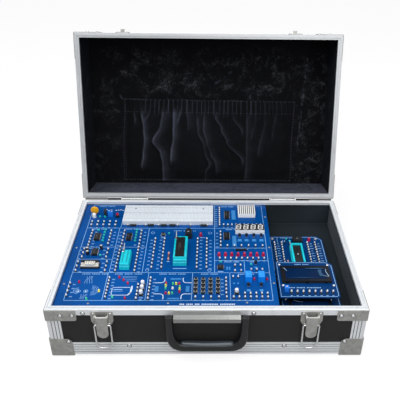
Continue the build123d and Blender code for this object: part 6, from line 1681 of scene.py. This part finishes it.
class TRAINER_OT_accessories(bpy.types.Operator):
    """Dress the three loose boards in the compartment"""

    bl_idname = "trainer.accessories"
    bl_label = "Accessory boards"

    display_finishes = ["shaded_board", "print", "moulding", "glass", "tin", "trimmer", "film", "white", "bezel"]
    floor = 49.5

    def execute(self, context):
        self.spare_core()
        self.upper_display()
        self.lower_display()
        return {"FINISHED"}

    def slab(self, shape, left, right, front, back, top, cut):
        """A circuit board in the darker solder mask of painted shade, with its right-hand corners cut off, and its
        printed border.
        """
        outline = [(left, front), (right - cut[0], front), (right, front + cut[0]), (right, back - cut[1]),
                   (right - cut[1], back), (left, back)]
        shape.prism(outline, top - 1.6, top, "shaded_board")
        inset = 2.4
        path = [(left + inset, front + inset), (right - cut[0] - inset, front + inset),
                (right - inset, front + cut[0] + inset), (right - inset, back - cut[1] - inset),
                (right - cut[1] - inset, back - inset), (left + inset, back - inset)]
        shape.band(path, 0.9, True, top, 0.08, "print")

    def spare_core(self):
        body, top = "spare_core_board", 63.05
        shape = Shape(["shaded_board", "print", "socket", "moulding", "tin", "resistor", "teal", "hole"])
        self.slab(shape, 111, 209, -33.5, 80.5, top, (0.01, 9))
        for x, y in ((117.5, 72.5), (197, 72.5), (117.5, -29.5), (203, -29.5)):
            shape.lathe((x, y, 0), [(2.6, self.floor), (2.6, top - 1.6)], 6, "tin")
            shape.lathe((x, y, 0), [(2.4, top), (2.2, top + 1.2), (1.2, top + 1.5)], 16, "tin")
        # Socket: base, raised rim round the chip, and its lever with a round end
        shape.block(145, 168, -20.5, 43.5, top, 70.6, "socket", 0.6)
        for left, right, front, back in ((146, 149.3, -19.5, 42.5), (163.7, 167, -19.5, 42.5),
                                         (149.3, 163.7, 38.3, 42.5), (149.3, 163.7, -19.5, -14.3)):
            shape.block(left, right, front, back, 70.6, 76.4, "socket", 0.5)
        shape.block(150.2, 162.8, -14, 37.4, 70.7, 75.2, "moulding", 0.5)
        shape.lathe((156.5, 12.0, 75.2), [(1.5, -0.4), (1.5, 0.05)], 14, "hole")
        shape.rod([(146.4, 20, 73.2), (146.4, 43, 73.4), (146.2, 50, 74.4)], 0.8, 8, "tin")
        shape.lathe((146.2, 51, 74.6), [(0, -1.9), (1.5, -1.2), (1.9, 0), (1.5, 1.2), (0, 1.9)], 14, "socket")
        # Jack and small parts
        shape.block(153.5, 172, 61, 73.5, top, top + 4.6, "moulding", 0.5)
        shape.block(155.0, 170.5, 62.2, 72.6, top + 4.6, top + 6.2, "moulding", 0.7)
        # A small tin mark on the jack's top: a painted glint
        shape.block(161.0, 163.6, 66.0, 67.2, top + 6.2, top + 6.4, "tin")
        profile = [(0.4, -5), (1.3, -4.8), (1.6, -3.9), (1.25, -2.9), (1.25, 2.9), (1.6, 3.9), (1.3, 4.8), (0.4, 5)]
        shape.lathe((139.0, 2.0, top + 1.7), profile, 14, "resistor", "Y")
        profile = [(0, -1.2), (1.6, -1.1), (2.1, 0), (1.6, 1.1), (0, 1.2)]
        shape.lathe((142.5, 69.5, top + 2.6), profile, 14, "teal", "X")
        shape.block(138.0, 141.0, 57.5, 60.0, top, top + 2.4, "moulding", 0.2)
        shape.band([(126.4, 78.0), (126.0, 62.0)], 0.7, False, top, 0.08, "print")
        shape.object("spare_board", body, 35, ["spare_core_board"])
        columns = (119.8, 132.9, 179.5, 193.2)
        rows = [58 - i * 57 / 8 for i in range(9)]
        stand_posts("spare_posts", [(x, y, top) for x in columns for y in rows], 1.5, 5.2, body)
        marks = [((x, y, top), (5.0 + 1.6 * (i % 3 - 1), 1.1, 0.08))
                 for x in (126.3, 186.3, 200.0) for i, y in enumerate(rows)]
        marks += [((x, 75.5, top), (1.8, 1.4, 0.08)) for x in (133, 136, 139, 142, 145, 150, 153, 156)]
        marks += [((x, y, top), (0.9, 3.4, 0.08)) for x in (136.2, 139.6) for y in (64.5, 67.5)]
        repeat("spare_marks", "Bars", marks, "print", body, "circuit_board")
        repeat("spare_lamp", "Lenses", [((184, 67.5, top), (2.9, 2.9, 7.4))], "red", body, "lamp_plastic", smooth=50)

    def upper_display(self):
        body, top = "lcd_board_upper", 81.2
        shape = Shape(self.display_finishes + ["dim_film"])
        self.slab(shape, 113, 208.5, -107, -17.4, top, (3, 8))
        spots = ((119.5, -26), (200, -27.5), (121, -78.5), (202.4, -78.5))
        self.fixings(shape, spots, top, [(1.6, top - 3.0), (1.6, top - 1.6)], 8)
        self.screen(shape, 119.6, 199.8, -73.1, -34.2, top, 5.0, 7.0)
        self.film(shape, top + 5.35)
        self.trimmer(shape, 125, -91, top)
        shape.object("upper_display", body, 35, ["lcd_board_upper"])
        stand_posts("upper_posts", [(131.8 + 9.386 * i, -97.2, top) for i in range(8)], 1.7, 7.4, body)
        marks = [((129 + 2.3 * i, -83.5 - 0.012 * i, top), (1.5, 2.0, 0.08)) for i in range(23) if i not in (5, 12)]
        marks += [((146 + 2.2 * i, -24.6, top), (1.5, 1.7, 0.08)) for i in range(11) if i != 5]
        marks += [((131.8 + 9.386 * i, -102.6, top), (3.4, 1.2, 0.08)) for i in range(8)]
        repeat("upper_marks", "Bars", marks, "print", body, "circuit_board")

    def lower_display(self):
        body, top = "lcd_board_lower", 63.05
        shape = Shape(self.display_finishes)
        self.slab(shape, 117, 212, -142, -65.5, top, (3, 8))
        spots = ((124.8, -91), (197.1, -92.3), (124.8, -136), (197.1, -136))
        self.fixings(shape, spots, top, [(2.4, self.floor), (2.4, top - 1.6)], 6)
        self.screen(shape, 128.5, 195.6, -122, -97, top, 6.0, 4.6)
        self.trimmer(shape, 191, -86.5, top)
        # A painted highlight where the film's edge catches the light
        shape.band([(136, -99.5), (142, -102.5), (150, -103.5)], 0.8, False, top + 6.1, 0.08, "film")
        shape.object("lower_display", body, 35, ["lcd_board_lower"])
        marks = [((130 + 2.2 * i, -93.6, top), (1.4, 1.5, 0.08)) for i in range(18) if i not in (4, 9)]
        marks += [((150 + 2.2 * i, -86.8, top), (1.5, 1.6, 0.08)) for i in range(9)]
        stand_posts("lower_posts", [(132 + 8.2 * i, -130.5, top) for i in range(8)], 1.5, 6.0, body)
        repeat("lower_marks", "Bars", marks, "print", body, "circuit_board")

    def fixings(self, shape, spots, top, spacer, sides):
        """White screw heads on a board, and what stands under them."""
        for x, y in spots:
            shape.lathe((x, y, 0), [(1.9, top), (1.8, top + 1.1), (1.0, top + 1.5)], 16, "white")
            shape.lathe((x, y, 0), spacer, sides, "tin")

    def trimmer(self, shape, x, y, top):
        """A trimmer with its screw."""
        shape.block(x - 3.5, x + 3.5, y - 3.5, y + 3.5, top, top + 9.0, "trimmer", 0.4)
        shape.lathe((x, y, top + 8.9), [(1.6, 0), (1.6, 0.6)], 14, "tin")

    def screen(self, shape, left, right, front, back, top, height, rim):
        """A display module: steel bezel with a sunk window."""
        high = top + height
        sunk = high - 1.2
        shape.block(left, right, front, back, top, sunk, "moulding", 0.4)
        near, far = front + rim * 0.75, back - rim * 0.75
        for sides in ((left, right, front, near), (left, right, far, back), (left, left + rim, near, far),
                      (right - rim, right, near, far)):
            shape.block(*sides, sunk, high, "bezel")
        shape.block(left + rim - 0.1, right - rim + 0.1, near - 0.1, far + 0.1, sunk, high - 0.6, "glass")
        for x in (left + 9, (left + right) / 2, right - 9):
            shape.block(x - 2.2, x + 2.2, front - 0.6, front, top, high, "bezel")

    def film(self, shape, z):
        """Painted highlights and dim painted reflections where the lifted edges of the protective film catch the
        light.
        """
        for finish, outline in (
            ("dim_film", [(157, -41.2), (172, -42.6), (184, -43.0), (193, -41.4), (186, -40.6), (174, -40.4)]),
            ("dim_film", [(180.5, -45.2), (187.0, -44.6), (185.6, -52.0), (189.0, -59.5), (182.5, -62.0),
                          (181.2, -56.0)]),
            ("film", [(193.6, -43.0), (194.6, -42.8), (193.8, -49.0), (197.2, -61.5), (196.2, -62.6),
                      (192.6, -50.0)]),
            ("film", [(186.5, -60.2), (195.6, -62.6), (196.4, -62.0), (187.0, -59.6)]),
            ("film", [(123.2, -38.8), (126.8, -41.6), (130.2, -48.6), (128.9, -47.4)]),
            ("dim_film", [(131, -64.8), (158, -64.1), (178, -64.6), (158, -64.9)]),
        ):
            area = sum(x0 * y1 - x1 * y0 for (x0, y0), (x1, y1) in zip(outline, outline[1:] + outline[:1]))
            shape.prism(outline if area > 0 else outline[::-1], z, z + 0.12, finish)


class TRAINER_OT_case_details(bpy.types.Operator):
    """Painted shadow along the hinge line and in the grooves, painted light and shade on sheets of lining, and the
    lines on the bracket and the relays
    """

    bl_idname = "trainer.case_details"
    bl_label = "Case details"

    def execute(self, context):
        # Dark bead of painted shadow that closes the hinge line between the knuckles, on a flange along the rim's back
        shape = Shape(["rubber"])
        axis = HINGE[1]
        for left, right in ((-193.0, -168.0), (-117.0, 117.0), (168.0, 193.0)):
            shape.rod([(left, axis, PARTING), (right, axis, PARTING)], 2.15, 12)
            shape.block(left, right, HALF_DEPTH + 0.05, axis - 0.4, PARTING - 6.5, PARTING - 1.2, bevel=0.3)
        # Behind the corner brackets the bead is thinner, so that the shut lid's brackets clear it
        for left, right in ((-236.5, -192.8), (192.8, 236.5)):
            shape.rod([(left, axis, PARTING), (right, axis, PARTING)], 1.4, 12)
        shape.object("hinge_gap_shadow_bead", "base", 40)
        # Sheets of the lining: a lighter one of painted light on the compartment's outer wall, a darker one of painted
        # shade on its floor
        lining_sheets = Shape(["lit_lining", "floor_lining"])
        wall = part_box("base_lining")[1].x / MM - 1.0
        lining_sheets.block(wall - 0.25, wall - 0.02, -141, 141, 50, 85.5, "lit_lining")
        lining_sheets.block(106, wall - 0.3, -141, 141, 49.5, 49.75, "floor_lining")
        lining_sheets.object("compartment_light_and_shade", "base")
        self.grooves("base", UNDERSIDE, 1)
        self.grooves("lid", LID_TOP, -1)
        # Shadow line of the bracket's rolled upper edge
        repeat("bracket_line", "Bars", [((0, FRONT - 1.22, 86.2), (104, 0.12, 0.9))], "groove", "base", "zinc_steel")
        # Markings of the relays
        top = top_of("relays")
        marks = []
        for left, right in ((59.5, 70.0), (80.0, 90.5)):
            middle = (left + right) / 2
            marks += [((middle + dx, -75.2, top), (0.5, 11.5, 0.05)) for dx in (-3.4, 3.4)]
            marks += [((middle, -75.2 + dy, top), (6.8, 0.5, 0.05)) for dy in (-5.8, 5.8)]
            marks += [((middle - 1.6 + 1.3 * k, -75.2, top), (0.5, 7.5 - 1.5 * k, 0.05)) for k in range(3)]
        repeat("relay_marks", "Bars", marks, "relay_mark", "base", "relay_plastic")
        return {"FINISHED"}

    def grooves(self, body, plane, side):
        """Painted shade along the bottoms of the grooves in one half's edging and corner posts."""
        made = []
        depth = 0.45
        grooves = [6.5 + 5.0 * number + 0.6 for number in range(4)]
        for offset in grooves:
            start = plane + side * offset - 0.6
            for hand in (-1, 1):
                made.append(((0, hand * (HALF_DEPTH - depth), start), (2 * HALF_WIDTH - 4, 0.1, 1.2)))
                made.append(((hand * (HALF_WIDTH - depth), 0, start), (0.1, 2 * HALF_DEPTH - 4, 1.2)))
        low, high = sorted((plane + side * 27, PARTING - side * 12))
        for offset in grooves[:3]:
            for x in (-1, 1):
                for y in (-1, 1):
                    made.append(((x * (HALF_WIDTH - offset), y * (HALF_DEPTH - depth), low), (1.2, 0.1, high - low)))
                    made.append(((x * (HALF_WIDTH - depth), y * (HALF_DEPTH - offset), low), (0.1, 1.2, high - low)))
        repeat(f"{body}_groove_shadows", "Bars", made, "groove", body, "aluminium_profile")


class TRAINER_OT_stage(bpy.types.Operator):
    """Set out the floor, the lamps, the world and the camera"""

    bl_idname = "trainer.stage"
    bl_label = "Stage"

    def execute(self, context):
        scene = context.scene
        stage = scene.trainer_stage
        self.floor(stage)
        self.lamp("overhead_lamp", (-0.25, -0.35, 1.5), (0.0, 0.0, 0.1), 1.6, stage.key)
        self.lamp("front_lamp", (0.5, -1.5, 0.9), (0.0, 0.0, 0.1), 1.2, stage.fill)
        self.world(scene, stage)
        self.camera(scene, stage)
        scene.view_settings.view_transform = "Standard"
        return {"FINISHED"}

    def floor(self, stage):
        mesh = bpy.data.meshes.new("floor")
        half = 12.0
        corners = [(-half, -half, 0), (half, -half, 0), (half, half, 0), (-half, half, 0)]
        mesh.from_pydata(corners, [], [(0, 1, 2, 3)])
        material = bpy.data.materials.new("floor_white")
        material.use_nodes = True
        tree = material.node_tree
        # Seen by the camera, the floor is lifted to white and keeps a soft trace of the shadow
        seen = add_node(tree, "ShaderNodeLightPath").outputs["Is Camera Ray"]
        dress(tree, tree.nodes["Principled BSDF"], {
            "Base Color": mix_colour(tree, seen, shaded(stage.floor, stage.bounce), stage.floor),
            "Roughness": 0.9, "Specular IOR Level": 0.1,
        })
        glow = add_node(tree, "ShaderNodeEmission", [("Strength", 1.08)])
        blend = add_node(tree, "ShaderNodeMixShader", [
            (0, math_node(tree, "MULTIPLY", seen, stage.lift)), (1, tree.nodes["Principled BSDF"].outputs[0]),
            (2, glow.outputs[0])])
        link(tree, blend.outputs[0], tree.nodes["Material Output"].inputs["Surface"])
        mesh.materials.append(material)
        piece = bpy.data.objects.new("floor", mesh)
        bpy.context.scene.collection.objects.link(piece)

    def lamp(self, name, place, aim, size, power):
        data = bpy.data.lights.new(name, "AREA")
        data.shape = "DISK"
        data.size = size
        data.energy = power
        piece = bpy.data.objects.new(name, data)
        piece.location = place
        piece.rotation_mode = "QUATERNION"
        piece.rotation_quaternion = (Vector(aim) - Vector(place)).to_track_quat("-Z", "Y")
        bpy.context.scene.collection.objects.link(piece)

    def world(self, scene, stage):
        world = bpy.data.worlds.new("studio")
        world.use_nodes = True
        tree = world.node_tree
        # Brighter overhead than at the horizon; white where the camera looks past the floor
        direction = add_node(tree, "ShaderNodeTexCoord").outputs["Generated"]
        rise = add_node(tree, "ShaderNodeSeparateXYZ", [(0, direction)]).outputs["Z"]
        light = remap(tree, rise, 0.0, 0.85, 0.42 * stage.sky, 1.7 * stage.sky)
        seen = add_node(tree, "ShaderNodeLightPath").outputs["Is Camera Ray"]
        hidden = math_node(tree, "SUBTRACT", 1.0, seen)
        dress(tree, tree.nodes["Background"], {
            "Color": (0.95, 0.97, 1.0), "Strength": weighed(tree, hidden, light, seen, 1.05),
        })
        scene.world = world

    def camera(self, scene, stage):
        pitch, yaw, roll = 0.5691568, 0.0242486, 0.0168521
        ahead = Vector((math.sin(yaw) * math.cos(pitch), math.cos(yaw) * math.cos(pitch), -math.sin(pitch)))
        right = Vector((math.cos(yaw), -math.sin(yaw), 0))
        up = right.cross(ahead)
        side = math.cos(roll) * right + math.sin(roll) * up
        top = math.cos(roll) * up - math.sin(roll) * right
        data = bpy.data.cameras.new("camera")
        data.sensor_width = 36
        data.lens = stage.focal
        data.shift_x = -0.0607
        data.shift_y = 0.00995
        camera = bpy.data.objects.new("camera", data)
        rotation = Matrix((side, top, -ahead)).transposed().to_4x4()
        camera.matrix_world = Matrix.Translation((0.00738, -0.77322 + CASE_Y * MM, 0.68052)) @ rotation
        scene.collection.objects.link(camera)
        scene.camera = camera


OPERATORS = [
    TRAINER_OT_finishes,
    TRAINER_OT_stage,
    TRAINER_OT_board_print,
    TRAINER_OT_contacts,
    TRAINER_OT_lamps,
    TRAINER_OT_breadboard,
    TRAINER_OT_chips,
    TRAINER_OT_displays,
    TRAINER_OT_small_parts,
    TRAINER_OT_connectors,
    TRAINER_OT_switches,
    TRAINER_OT_rivets,
    TRAINER_OT_velvet,
    TRAINER_OT_pocket,
    TRAINER_OT_handle,
    TRAINER_OT_latches,
    TRAINER_OT_accessories,
    TRAINER_OT_case_details,
]


class TRAINER_PT_panel(bpy.types.Panel):
    """The trainer's operators and settings"""

    bl_idname = "TRAINER_PT_panel"
    bl_label = "Digital logic trainer"
    bl_space_type = "VIEW_3D"
    bl_region_type = "UI"
    bl_category = "Trainer"

    def draw(self, context):
        for operator in OPERATORS:
            self.layout.operator(operator.bl_idname)
        for name, group in SETTINGS.items():
            column = self.layout.box()
            for key in group.__annotations__:
                column.prop(getattr(context.scene, name), key)


SETTINGS = {"trainer_colours": TrainerColours, "trainer_print": TrainerPrint, "trainer_cloth": TrainerCloth,
            "trainer_stage": TrainerStage}
CLASSES = [*SETTINGS.values(), *OPERATORS, TRAINER_PT_panel]


def register():
    for cls in CLASSES:
        bpy.utils.register_class(cls)
    for name, group in SETTINGS.items():
        setattr(bpy.types.Scene, name, PointerProperty(type=group))


def unregister():
    for name in SETTINGS:
        delattr(bpy.types.Scene, name)
    for cls in reversed(CLASSES):
        bpy.utils.unregister_class(cls)


def main():
    """Builds every piece in order."""
    register()
    for operator in OPERATORS:
        space, name = operator.bl_idname.split(".")
        getattr(getattr(bpy.ops, space), name)()
    bpy.context.view_layer.update()


if __name__ == "__main__":
    main()
